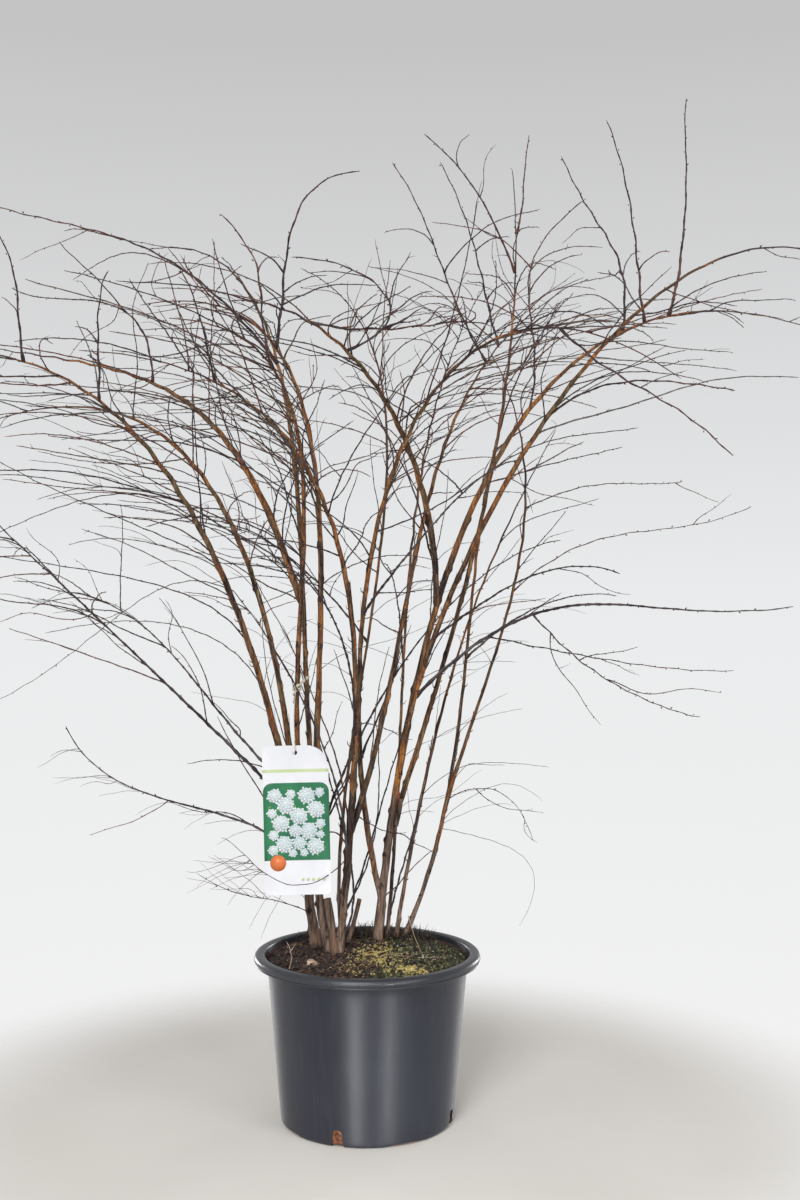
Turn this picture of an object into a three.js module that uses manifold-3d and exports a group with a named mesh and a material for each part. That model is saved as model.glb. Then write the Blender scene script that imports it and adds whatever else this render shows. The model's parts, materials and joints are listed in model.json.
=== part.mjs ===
// A bare, dormant spirea shrub in a round nursery pot: eight stems rise from one clump, fork low and
// arch out into a wide crown of fine twigs. Millimetres, +Z up. The origin is the centre of the
// pot's flat underside, -Y is the front of the plant and +X its right side.
import * as THREE from 'three';
import { mergeVertices } from 'three/addons/utils/BufferGeometryUtils.js';
import Module from 'manifold-3d';

const wasm = await Module();
wasm.setup();

// ---------------------------------------------------------------- driving dimensions, millimetres
const gap = 0.3; // between neighbouring pieces
const up = new THREE.Vector3(0, 0, 1);

const pot = {
  facets: 28,
  footRadius: 137.5, // outside, at the ground
  wallTopRadius: 158, // outside, just under the rim
  wallTopHeight: 236,
  cornerRadius: 9,
  rimRadius: 180,
  rimBottom: 250,
  rimTop: 266,
  mouthRadius: 163,
  wall: 2.5,
  floor: 4,
};
const drain = { count: 4, firstAngle: -108, width: 21, topWidth: 14, height: 27 };
const scallop = { firstAngle: -63, width: 76, height: 3 }; // the raised arcs between the pot's feet

const soil = { bedHeight: 264, bedRadius: 128, edgeHeight: 254 }; // a level bed that slopes to the wall

const label = {
  width: 102,
  height: 231,
  thickness: 1,
  middle: new THREE.Vector3(-108, -68, 485),
  tilt: -1.4, // degrees, its top towards -X
  cornerRadius: 8,
  wideCornerRadius: 34,
  holeRadius: 3.5,
  holeDrop: 11, // from the top edge to the hole's middle
};
const tie = {
  on: 'middle_2', // the limb that carries the label
  at: 0.27,
  height: 9,
  thickness: 1.6,
  slack: 0.9,
  facets: 10,
  stringRadius: 0.8,
  loopRadius: 6.4,
};

const wood = { sides: 6, step: 60, taper: 1.4, flare: 0.25, flareHeight: 20 };
const shoot = { sides: 4, step: 80 }; // the limbs inside a mass
const twig = {
  spacing: 62, // along a limb, from one twig to the next
  turn: 2.4, // radians round the limb, from one twig to the next
  turnSpread: 0.6,
  firstAt: 22, // from the foot of the mass to its first twig
  sides: 3,
  steps: 2,
  thickest: 1.3,
  thickShare: 0.55, // of its limb's radius
  slimmest: 1 / 170, // its least radius, as a share of its length
  shortest: 60,
  longest: 220,
  lengthShare: 0.4, // of the limb that carries it
  tipLoss: 0.6, // how much shorter the last twig of a limb is than its first
  lengthSpread: 0.45,
  tries: [1, 0.72, 0.5], // shares of its length that a twig without room is cut back to
  knee: 0.45, // where it bends, as a share of its length
  opening: [0.6, 1], // radians between the limb and the twig
  lift: [-0.25, 0.35],
  outward: 0.7, // how strongly it turns away from the plant's middle
  keepOff: 9, // from every other limb and twig
};
const room = {
  sampling: 11, // the step between the points that stand for a limb
  shared: 35, // how far a mass may reach past the middle between it and its neighbour
  top: 1625,
};

// ---------------------------------------------------------------- limbs
// Each limb is one cubic curve from its root past two bends to its tip. A stem's root is its foot
// [x, y] on the soil; a bough or a branch leaves the limb `on` at the share `at` of that curve. Its
// radius falls from `thick` to `thin`. Up to the share `bare` a stem or a bough is clean wood, and
// beyond that it carries a mass of twigs. A branch is twiggy from its root.
const thin = 1.2;
const limbs = new Map();

function stem(name, foot, bends, thick, bare) {
  limbs.set(name, { name, foot, bends, thick, bare, mass: name });
}

function bough(name, on, at, bends, thick, bare) {
  limbs.set(name, { name, parent: limbs.get(on), at, bends, thick, bare, mass: name });
}

function branch(name, on, at, bends, thick) {
  const parent = limbs.get(on);
  const mass = at < parent.bare ? name : parent.mass;
  limbs.set(name, { name, parent, at, bends, thick, bare: 0, mass });
}

stem('left', [-85, 50], [[-120, 30, 580], [-250, -105, 1285], [-650, -260, 1170]], 8, 0.5);
bough('left_2', 'left', 0.155, [[-150, 65, 840], [-240, 120, 1310], [-740, 220, 1105]], 5.5, 0.38);
stem('middle', [-60, 5], [[-150, -10, 560], [90, -180, 1340], [-310, -300, 1235]], 7, 0.5);
bough('middle_2', 'middle', 0.13, [[-185, -25, 735], [45, -245, 1215], [-240, -480, 1185]], 5.5, 0.46);
bough('middle_3', 'middle', 0.22, [[-130, 5, 790], [-60, 270, 1515], [-420, 380, 1470]], 4.5, 0.34);
bough('middle_4', 'middle_2', 0.39, [[-220, -15, 1205], [-390, 100, 1205], [-715, 280, 1280]], 4.2, 0.2);
stem('front', [-44, -10], [[-20, -50, 615], [80, -165, 1175], [-375, -380, 1160]], 6.5, 0.52);
bough('front_2', 'front', 0.17, [[90, 10, 770], [50, 195, 1185], [345, 340, 1385]], 5, 0.42);
stem('right', [15, 75], [[45, 60, 635], [170, -10, 1450], [690, -100, 1235]], 7.5, 0.48);
bough('right_2', 'right', 0.06, [[-85, 20, 705], [30, -155, 1465], [420, -400, 1120]], 5, 0.42);
bough('right_3', 'right', 0.14, [[140, 75, 765], [280, 115, 1185], [245, 160, 1555]], 5, 0.42);
bough('right_4', 'right', 0.23, [[90, -35, 825], [400, -230, 1500], [680, -340, 1270]], 4.8, 0.33);
bough('right_5', 'right', 0.39, [[110, -20, 1065], [-20, -250, 1265], [-165, -460, 1210]], 4.5, 0.2);
stem('low_back', [45, 95], [[85, 110, 575], [185, 210, 870], [330, 300, 1130]], 3.6, 0.5);
stem('back_right', [60, 110], [[220, 140, 615], [125, 300, 1085], [355, 420, 1375]], 4, 0.46);
bough('back_right_2', 'back_right', 0.18, [[195, 115, 725], [335, 40, 975], [190, -70, 1210]], 3.4, 0.36);
stem('back_left', [-45, 100], [[-90, 120, 605], [195, 320, 1280], [-135, 420, 1445]], 3.2, 0.46);
stem('back', [30, 100], [[65, 130, 640], [35, 285, 1095], [210, 400, 1410]], 3.2, 0.48);

// low branches that leave the clean wood, to the left, the right, the back and the front
branch('low_left_1', 'left', 0.2, [[-270, 5, 660], [-435, -85, 805], [-560, -200, 965]], 3.2);
branch('low_left_2', 'left', 0.23, [[-260, 55, 640], [-370, 170, 830], [-550, 260, 840]], 2.6);
branch('low_left_3', 'left', 0.12, [[-185, 25, 520], [-400, -50, 475], [-450, -140, 635]], 2.6);
branch('low_front_1', 'front', 0.13, [[-30, -90, 560], [-95, -165, 720], [-185, -240, 840]], 2.2);
branch('low_left_4', 'left', 0.05, [[-150, 35, 350], [-215, 10, 345], [-270, -20, 395]], 2);
branch('low_right_1', 'left', 0.1, [[-55, 75, 565], [105, 120, 890], [325, 150, 925]], 3);
branch('low_right_2', 'right', 0.29, [[305, -5, 910], [400, -50, 780], [625, -200, 815]], 3.2);
branch('low_right_3', 'back_right', 0.2, [[180, 120, 530], [240, 90, 520], [270, 60, 430]], 1.8);
branch('low_front_2', 'front', 0.3, [[-10, -200, 740], [-50, -390, 880], [-120, -540, 880]], 2.4);
branch('low_front_3', 'right_2', 0.35, [[60, -150, 900], [150, -340, 1010], [200, -540, 1000]], 2.4);
branch('low_front_4', 'right_4', 0.2, [[180, -120, 830], [270, -300, 900], [330, -480, 860]], 2.2);
branch('low_back_1', 'back_left', 0.38, [[-80, 250, 860], [-190, 370, 960], [-300, 470, 960]], 2);
branch('low_back_2', 'back_right', 0.4, [[260, 280, 800], [370, 400, 850], [470, 500, 830]], 2.2);
branch('low_back_3', 'back', 0.36, [[60, 270, 800], [40, 420, 900], [20, 560, 890]], 2);

// branches of the crown, each inside the mass of the limb that carries it
branch('crown_1', 'low_right_2', 0.19, [[330, 25, 740], [465, 65, 705], [605, 100, 705]], 1.8);
branch('crown_2', 'low_right_2', 0.32, [[350, -55, 705], [410, -215, 670], [460, -340, 670]], 1.8);
branch('crown_3', 'back_right_2', 0.49, [[370, 45, 975], [470, 15, 905], [600, -50, 970]], 1.8);
branch('crown_4', 'back_right_2', 0.67, [[350, -5, 1020], [420, -200, 995], [445, -300, 990]], 1.6);
branch('crown_5', 'right', 0.53, [[290, 45, 1040], [365, 145, 1070], [440, 220, 1090]], 1.8);
branch('crown_6', 'right', 0.84, [[505, -55, 1380], [495, -40, 1500], [505, -20, 1615]], 2.6);
branch('crown_7', 'right', 0.81, [[410, -55, 1360], [415, -85, 1460], [365, -120, 1550]], 2.2);
branch('crown_8', 'right', 0.78, [[420, -15, 1400], [350, 45, 1445], [320, 120, 1565]], 2.2);
branch('crown_9', 'right_4', 0.49, [[340, -150, 1175], [460, -305, 1125], [495, -400, 1105]], 2);
branch('crown_10', 'right_2', 0.86, [[350, -325, 1125], [430, -380, 1085], [480, -450, 1015]], 1.8);
branch('crown_11', 'middle', 0.78, [[-110, -225, 1280], [-125, -260, 1425], [-5, -300, 1420]], 2.6);
branch('crown_12', 'front_2', 0.84, [[190, 265, 1385], [185, 280, 1495], [125, 300, 1610]], 2.2);
branch('crown_13', 'front_2', 0.8, [[120, 255, 1370], [125, 205, 1465], [40, 100, 1550]], 2);
branch('crown_14', 'right_3', 0.84, [[200, 125, 1490], [150, 65, 1535], [90, 0, 1565]], 2);
branch('crown_15', 'right_3', 0.9, [[265, 150, 1490], [265, 175, 1560], [275, 200, 1625]], 1.8);
branch('crown_16', 'right', 0.63, [[300, 20, 1290], [180, 25, 1345], [360, 100, 1490]], 1.8);
branch('crown_17', 'middle_3', 0.6, [[-355, 180, 1490], [-450, 160, 1430], [-685, 100, 1495]], 2.6);
branch('crown_18', 'left', 0.86, [[-505, -205, 1250], [-490, -245, 1310], [-520, -300, 1360]], 2.2);
branch('crown_19', 'left', 0.75, [[-385, -160, 1190], [-400, -205, 1260], [-360, -250, 1295]], 2);
branch('crown_20', 'middle_4', 0.54, [[-365, 110, 1385], [-520, 195, 1310], [-645, 300, 1385]], 2);
branch('crown_21', 'middle_2', 0.79, [[-150, -345, 1230], [-105, -355, 1265], [-185, -400, 1335]], 1.8);
branch('crown_22', 'front', 0.85, [[-220, -300, 1185], [-215, -320, 1235], [-245, -350, 1275]], 1.8);
branch('crown_23', 'right_5', 0.77, [[40, -320, 1175], [105, -335, 1225], [175, -350, 1195]], 1.8);
branch('crown_24', 'right_5', 0.65, [[125, -230, 1245], [-20, -220, 1320], [-105, -200, 1325]], 1.8);

function radiusOf(limb, t) {
  const radius = thin + (limb.thick - thin) * (1 - t) ** wood.taper;
  if (limb.parent) return radius;
  const height = limb.curve.getPoint(t).z - soil.bedHeight;
  return radius * (1 + wood.flare * Math.exp(-height / wood.flareHeight));
}

// ---------------------------------------------------------------- solids
function solidOf(geometry) {
  const plain = geometry.clone();
  plain.deleteAttribute('normal');
  plain.deleteAttribute('uv');
  const merged = mergeVertices(plain, 1e-3);
  const vertProperties = new Float32Array(merged.attributes.position.array);
  const triVerts = new Uint32Array(merged.index.array);
  return new wasm.Manifold(new wasm.Mesh({ numProp: 3, vertProperties, triVerts }));
}

function geometryOf(solid) {
  const mesh = solid.getMesh();
  const geometry = new THREE.BufferGeometry();
  geometry.setAttribute('position', new THREE.BufferAttribute(mesh.vertProperties, 3));
  geometry.setIndex(new THREE.BufferAttribute(mesh.triVerts, 1));
  return geometry;
}

const joined = (solids) => solids.reduce((whole, part) => whole.add(part));
const spin = (degrees) => new THREE.Matrix4().makeRotationZ(THREE.MathUtils.degToRad(degrees));

// A closed cylinder bent along rings that are square to a curve, each with the radius at its place.
// A pointed one ends in a single vertex.
function bentLimb(rings, radiusAt, sides, pointed) {
  const steps = rings.length - 1;
  const geometry = new THREE.CylinderGeometry(pointed ? 0 : 1, 1, 1, sides, steps);
  const position = geometry.attributes.position;
  const vertex = new THREE.Vector3();
  for (let i = 0; i < position.count; i += 1) {
    vertex.fromBufferAttribute(position, i);
    const share = vertex.y + 0.5;
    const ring = rings[Math.round(share * steps)];
    const cone = pointed ? Math.max(1 - share, 1e-9) : 1;
    const across = vertex.x / cone;
    const along = vertex.z / cone;
    const radius = pointed && share > 0.999 ? 0 : radiusAt(ring.t);
    vertex.copy(ring.middle);
    vertex.addScaledVector(ring.across, across * radius);
    vertex.addScaledVector(ring.along, along * radius);
    position.setXYZ(i, vertex.x, vertex.y, vertex.z);
  }
  return geometry;
}

function ringsAlong(curve, from, to, steps) {
  const rings = [];
  let across = new THREE.Vector3(0.36, 0.93, 0.05);
  for (let i = 0; i <= steps; i += 1) {
    const t = from + ((to - from) * i) / steps;
    const tangent = curve.getTangent(t);
    across = across.clone().addScaledVector(tangent, -across.dot(tangent)).normalize();
    const along = new THREE.Vector3().crossVectors(across, tangent);
    rings.push({ t, middle: curve.getPoint(t), across, along });
  }
  return rings;
}

// A stem's foot is cut flat on the soil.
function levelRing(ring) {
  ring.across.setZ(0).normalize();
  ring.along.crossVectors(ring.across, up);
}

// ---------------------------------------------------------------- pot, soil and label
function roundCorner(middleR, middleZ, radius, fromAngle, toAngle, points) {
  return Array.from({ length: points }, (_, i) => {
    const angle = THREE.MathUtils.degToRad(fromAngle + ((toAngle - fromAngle) * i) / (points - 1));
    return new THREE.Vector2(middleR + radius * Math.cos(angle), middleZ + radius * Math.sin(angle));
  });
}

function wallRadius(height) {
  return pot.footRadius + ((pot.wallTopRadius - pot.footRadius) * height) / pot.wallTopHeight;
}

function potProfile() {
  const inside = (height) => new THREE.Vector2(wallRadius(height) - pot.wall, height);
  const corner = pot.cornerRadius;
  const bead = (pot.rimTop - pot.rimBottom) / 2;
  return [
    new THREE.Vector2(0, 0),
    ...roundCorner(wallRadius(corner) - corner, corner, corner, -90, -5, 4),
    new THREE.Vector2(pot.wallTopRadius, pot.wallTopHeight),
    new THREE.Vector2(pot.mouthRadius + 1, pot.rimBottom + 3),
    new THREE.Vector2(pot.rimRadius - 2, pot.rimBottom),
    ...roundCorner(pot.rimRadius - bead, pot.rimTop - bead, bead, 0, 90, 3),
    new THREE.Vector2(pot.mouthRadius + 2.5, pot.rimTop),
    new THREE.Vector2(pot.mouthRadius, pot.rimTop - 3),
    inside(pot.wallTopHeight),
    inside(pot.floor + 5),
    new THREE.Vector2(wallRadius(0) - pot.wall - 6, pot.floor),
    new THREE.Vector2(0, pot.floor),
  ];
}

// A prism that cuts through the pot's wall at the ground, facing +X, with a sloping or upright side.
function wallCutter(width, topWidth, height, innerRadius) {
  const outline = new THREE.Shape();
  outline.moveTo(-width / 2, -1);
  outline.lineTo(width / 2, -1);
  outline.lineTo(topWidth / 2, height);
  outline.lineTo(-topWidth / 2, height);
  const depth = 40;
  const cutter = new THREE.ExtrudeGeometry(outline, { depth, bevelEnabled: false });
  cutter.rotateX(Math.PI / 2).rotateZ(Math.PI / 2);
  return cutter.translate(innerRadius, 0, 0);
}

function potGeometry() {
  let shell = solidOf(new THREE.LatheGeometry(potProfile(), pot.facets).rotateX(Math.PI / 2));
  for (let i = 0; i < drain.count; i += 1) {
    const turn = (i * 360) / drain.count;
    const notch = wallCutter(drain.width, drain.topWidth, drain.height, pot.footRadius - 14);
    notch.applyMatrix4(spin(drain.firstAngle + turn));
    const arc = wallCutter(scallop.width, scallop.width, scallop.height, pot.footRadius - 12);
    arc.applyMatrix4(spin(scallop.firstAngle + turn));
    shell = shell.subtract(solidOf(notch)).subtract(solidOf(arc));
  }
  return geometryOf(shell);
}

function soilGeometry() {
  const inside = (height) => wallRadius(height) - pot.wall - gap;
  const bottom = pot.floor + gap;
  const profile = [
    new THREE.Vector2(0, bottom),
    new THREE.Vector2(inside(0) - 6.5, bottom),
    new THREE.Vector2(inside(pot.floor + 5.5), pot.floor + 5.5),
    new THREE.Vector2(inside(pot.wallTopHeight), pot.wallTopHeight),
    new THREE.Vector2(inside(pot.wallTopHeight) + 2, soil.edgeHeight),
    new THREE.Vector2(soil.bedRadius, soil.bedHeight),
    new THREE.Vector2(0, soil.bedHeight),
  ];
  return new THREE.LatheGeometry(profile, pot.facets).rotateX(Math.PI / 2);
}

function labelGeometry() {
  const { width, height, cornerRadius: small, wideCornerRadius: wide } = label;
  const [left, right, bottom, top] = [-width / 2, width / 2, -height / 2, height / 2];
  const outline = new THREE.Shape();
  outline.moveTo(left + small, bottom);
  outline.lineTo(right - small, bottom);
  outline.absarc(right - small, bottom + small, small, -Math.PI / 2, 0);
  outline.lineTo(right, top - wide);
  outline.absarc(right - wide, top - wide, wide, 0, Math.PI / 2);
  outline.lineTo(left + small, top);
  outline.absarc(left + small, top - small, small, Math.PI / 2, Math.PI);
  outline.lineTo(left, bottom + small);
  outline.absarc(left + small, bottom + small, small, Math.PI, Math.PI * 1.5);
  const hole = new THREE.Path();
  hole.absarc(0, top - label.holeDrop, label.holeRadius, 0, Math.PI * 2);
  outline.holes.push(hole);
  const shape = { depth: label.thickness, bevelEnabled: false, curveSegments: 4 };
  const card = new THREE.ExtrudeGeometry(outline, shape).rotateX(Math.PI / 2);
  return card.translate(0, label.thickness / 2, 0);
}

// The band round a bough, the loop through the label's hole and the string between the two.
function tieGeometry(labelMatrix) {
  const limb = limbs.get(tie.on);
  const middle = limb.curve.getPoint(tie.at);
  const inner = radiusOf(limb, tie.at) + gap + tie.slack;
  const outer = inner + tie.thickness;
  const half = tie.height / 2;
  const corners = [[inner, -half], [outer, -half], [outer, half], [inner, half], [inner, -half]];
  const profile = corners.map(([radius, height]) => new THREE.Vector2(radius, height));
  const band = new THREE.LatheGeometry(profile, tie.facets);
  const upright = new THREE.Quaternion();
  upright.setFromUnitVectors(new THREE.Vector3(0, 1, 0), limb.curve.getTangent(tie.at));
  band.applyQuaternion(upright).translate(middle.x, middle.y, middle.z);

  const hole = new THREE.Vector3(0, 0, label.height / 2 - label.holeDrop).applyMatrix4(labelMatrix);
  const hang = label.holeRadius - tie.stringRadius - 1.5 * gap; // the card hangs by its hole's top edge
  const loopMiddle = hole.clone().add(new THREE.Vector3(0, 0, hang + tie.loopRadius));
  const loop = new THREE.TorusGeometry(tie.loopRadius, tie.stringRadius, 4, 12).rotateY(Math.PI / 2);
  loop.translate(loopMiddle.x, loopMiddle.y, loopMiddle.z);

  const from = loopMiddle.clone().add(new THREE.Vector3(0, 0, tie.loopRadius));
  const to = middle.clone().add(new THREE.Vector3(0, -outer + tie.thickness / 2, 0));
  const sag = from.clone().lerp(to, 0.5).add(new THREE.Vector3(-2, -2, 0));
  const rings = ringsAlong(new THREE.QuadraticBezierCurve3(from, sag, to), 0, 1, 4);
  const string = bentLimb(rings, () => tie.stringRadius, 4, false);
  return geometryOf(joined([band, loop, string].map(solidOf)));
}

// ---------------------------------------------------------------- the rule that grows twigs
// Even spheres along every limb and twig stand for it when a new twig looks for a free way, and
// boxes stand for the pot and the label.
const spheres = [];
const blocks = [];

function addSpheres(curve, from, to, length, radiusAt, owner) {
  const count = Math.max(2, Math.ceil((length * (to - from)) / room.sampling));
  for (let i = 0; i <= count; i += 1) {
    const t = from + ((to - from) * i) / count;
    spheres.push({ middle: curve.getPoint(t), radius: radiusAt(t), ...owner });
  }
}

// Whether a twig of a limb may pass a point: inside the space of the limb's own mass, and clear of
// every other limb and twig.
function isFree(point, radius, limb) {
  if (point.z > room.top || blocks.some((block) => block.containsPoint(point))) return false;
  let own = Infinity;
  let other = Infinity;
  for (const sphere of spheres) {
    const distance = point.distanceTo(sphere.middle);
    const clear = distance - sphere.radius - radius;
    if (sphere.limb !== limb.name && clear < twig.keepOff) return false;
    if (sphere.isTwig) continue;
    if (sphere.mass === limb.mass) own = Math.min(own, distance);
    else if (sphere.mass) other = Math.min(other, distance);
  }
  return own < other + room.shared;
}

function randomFrom(seed) {
  let state = seed;
  return () => {
    state = (Math.imul(state, 1664525) + 1013904223) >>> 0;
    return state / 2 ** 32;
  };
}

const between = ([low, high], share) => low + (high - low) * share;

// The point on the axis of a limb's solid, which runs straight from ring to ring.
function axisPoint(limb, t) {
  const next = limb.rings.findIndex((ring) => ring.t >= t);
  if (next < 1) return limb.curve.getPoint(t);
  const [before, after] = [limb.rings[next - 1], limb.rings[next]];
  return before.middle.clone().lerp(after.middle, (t - before.t) / (after.t - before.t));
}

// A twig leaves its limb at an opening angle, turned round it, then bends outwards and lifts.
function twigCurve(limb, t, turn, opening, length, lift) {
  const root = axisPoint(limb, t);
  const tangent = limb.curve.getTangent(t);
  const level = Math.abs(tangent.z) > 0.95 ? new THREE.Vector3(1, 0, 0) : up;
  const side = new THREE.Vector3().crossVectors(tangent, level).normalize();
  const upper = new THREE.Vector3().crossVectors(side, tangent);
  const heading = tangent.clone().multiplyScalar(Math.cos(opening));
  heading.addScaledVector(side, Math.sin(opening) * Math.cos(turn));
  heading.addScaledVector(upper, Math.sin(opening) * Math.sin(turn));
  const outward = new THREE.Vector3(root.x, root.y, 0).normalize();
  const bend = root.clone().addScaledVector(heading, length * twig.knee);
  const leading = heading.addScaledVector(outward, twig.outward).addScaledVector(up, lift).normalize();
  const tip = bend.clone().addScaledVector(leading, length * (1 - twig.knee));
  return new THREE.QuadraticBezierCurve3(root, bend, tip);
}

function growTwigs(limb, seed) {
  const random = randomFrom(seed);
  const first = limb.start + twig.firstAt / limb.length;
  const count = Math.floor(((1 - first) * limb.length) / twig.spacing);
  const longest = Math.min(twig.longest, twig.shortest + limb.length * (1 - limb.start) * twig.lengthShare);
  const turnFirst = random() * Math.PI * 2;
  const solids = [];
  for (let i = 0; i < count; i += 1) {
    const share = (i + between([0.35, 0.65], random())) / count;
    const t = between([first, 1], share);
    const turn = turnFirst + i * twig.turn + twig.turnSpread * random();
    const opening = between(twig.opening, random());
    const fullLength = longest * (1 - twig.tipLoss * share * share) * (1 - twig.lengthSpread * random());
    const lift = between(twig.lift, random());
    const radius = Math.max(fullLength * twig.slimmest, radiusOf(limb, t) * twig.thickShare);
    const radiusAt = () => Math.min(twig.thickest, radius);
    for (const trim of twig.tries) {
      const length = fullLength * trim;
      const curve = twigCurve(limb, t, turn, opening, length, lift);
      const way = curve.getPoints(12).slice(2);
      if (!way.every((point) => isFree(point, radiusAt(), limb))) continue;
      solids.push(solidOf(bentLimb(ringsAlong(curve, 0, 1, twig.steps), radiusAt, twig.sides, true)));
      addSpheres(curve, 0.2, 1, length, radiusAt, { limb: `${limb.name} ${i}`, isTwig: true });
      break;
    }
  }
  return solids;
}

// ---------------------------------------------------------------- where a limb leaves its carrier
const woodName = (limb) => `${limb.parent ? 'bough' : 'stem'}_${limb.name}`;

// The nearest distance from a point to a mesh, below zero inside it.
function distanceTo(mesh, point) {
  const position = mesh.geometry.attributes.position;
  const index = mesh.geometry.index;
  const triangle = new THREE.Triangle();
  const nearest = new THREE.Vector3();
  const normal = new THREE.Vector3();
  let best = Infinity;
  for (let i = 0; i < index.count; i += 3) {
    triangle.setFromAttributeAndIndices(position, index.getX(i), index.getX(i + 1), index.getX(i + 2));
    triangle.closestPointToPoint(point, nearest);
    const distance = nearest.distanceTo(point);
    if (distance >= Math.abs(best)) continue;
    triangle.getNormal(normal);
    best = normal.dot(point.clone().sub(nearest)) < 0 ? -distance : distance;
  }
  return best;
}

// The share of a limb's curve where its end face first stands clear of the limb that carries it.
function clearStart(limb, sides) {
  const carrier = plant.getObjectByName(woodName(limb.parent));
  const step = 0.1 / limb.length;
  for (let t = 0; t < 0.2; t += step) {
    const [ring] = ringsAlong(limb.curve, t, t + step, 1);
    const radius = radiusOf(limb, t);
    const rim = Array.from({ length: sides * 2 }, (_, i) => {
      const angle = (i * Math.PI) / sides;
      const edge = i % 2 ? radius * Math.cos(Math.PI / sides) : radius;
      const point = ring.middle.clone().addScaledVector(ring.across, Math.sin(angle) * edge);
      return point.addScaledVector(ring.along, Math.cos(angle) * edge);
    });
    if (rim.every((point) => distanceTo(carrier, point) > gap)) return t;
  }
  throw new Error(`${limb.name} never clears its carrier`);
}

// ---------------------------------------------------------------- building
const plant = new THREE.Group();

function addPiece(name, geometry, material, matrix) {
  const mesh = new THREE.Mesh(geometry, material);
  mesh.name = name;
  if (matrix) mesh.applyMatrix4(matrix);
  plant.add(mesh);
  return mesh;
}

const potPlastic = new THREE.MeshStandardMaterial({ color: 0x3f4347, roughness: 0.45, metalness: 0 });
const soilEarth = new THREE.MeshStandardMaterial({ color: 0x2e2118, roughness: 0.95, metalness: 0 });
const barkBrown = new THREE.MeshStandardMaterial({ color: 0x8a5c34, roughness: 0.8, metalness: 0 });
const twigBrown = new THREE.MeshStandardMaterial({ color: 0x56423a, roughness: 0.8, metalness: 0 });
const cardWhite = new THREE.MeshStandardMaterial({ color: 0xe8ebe6, roughness: 0.4, metalness: 0 });

addPiece('pot', potGeometry(), potPlastic);
addPiece('soil', soilGeometry(), soilEarth);

const labelMatrix = new THREE.Matrix4().makeRotationY(THREE.MathUtils.degToRad(label.tilt));
labelMatrix.setPosition(label.middle);
addPiece('label_card', labelGeometry(), cardWhite, labelMatrix);

for (const name of ['pot', 'label_card']) {
  const box = new THREE.Box3().setFromObject(plant.getObjectByName(name));
  blocks.push(box.expandByScalar(twig.keepOff));
}

for (const limb of limbs.values()) {
  const [low, high, tip] = limb.bends.map((point) => new THREE.Vector3(...point));
  const root = limb.parent
    ? axisPoint(limb.parent, limb.at)
    : new THREE.Vector3(limb.foot[0], limb.foot[1], soil.bedHeight + gap);
  limb.curve = new THREE.CubicBezierCurve3(root, low, high, tip);
  limb.length = limb.curve.getLength();
  const radiusAt = (t) => radiusOf(limb, t);
  if (limb.bare > 0) {
    const from = limb.parent ? clearStart(limb, wood.sides) : 0;
    const steps = Math.max(3, Math.round((limb.length * (limb.bare - from)) / wood.step));
    const rings = ringsAlong(limb.curve, from, limb.bare, steps);
    if (limb.foot) levelRing(rings[0]);
    addPiece(woodName(limb), geometryOf(solidOf(bentLimb(rings, radiusAt, wood.sides, false))), barkBrown);
    addSpheres(limb.curve, from, limb.bare, limb.length, radiusAt, { limb: woodName(limb) });
    limb.start = limb.bare + gap / limb.length;
  } else if (limb.mass === limb.name) {
    limb.start = clearStart(limb, shoot.sides);
  } else {
    limb.start = 0;
  }
  const steps = Math.max(3, Math.round((limb.length * (1 - limb.start)) / shoot.step));
  limb.rings = ringsAlong(limb.curve, limb.start, 1, steps);
  addSpheres(limb.curve, limb.start, 1, limb.length, radiusAt, { limb: limb.name, mass: limb.mass });
}

addPiece('label_tie', tieGeometry(labelMatrix), cardWhite);

const masses = new Map();
let seed = 11;
for (const limb of limbs.values()) {
  const shape = bentLimb(limb.rings, (t) => radiusOf(limb, t), shoot.sides, false);
  const solids = [solidOf(shape), ...growTwigs(limb, seed)];
  masses.set(limb.mass, [...(masses.get(limb.mass) ?? []), ...solids]);
  seed += 37;
}
for (const [name, solids] of masses) addPiece(`twigs_${name}`, geometryOf(joined(solids)), twigBrown);

export default plant;
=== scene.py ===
# A bare, dormant spirea shrub in a round nursery pot, dressed for rendering. Metres, +Z up, -Y the
# front of the plant; the origin is the centre of the pot's flat underside.
import json
import math
import random
from collections import namedtuple

import bmesh
import bpy
import numpy as np
from mathutils import Matrix, Vector, noise

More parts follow.
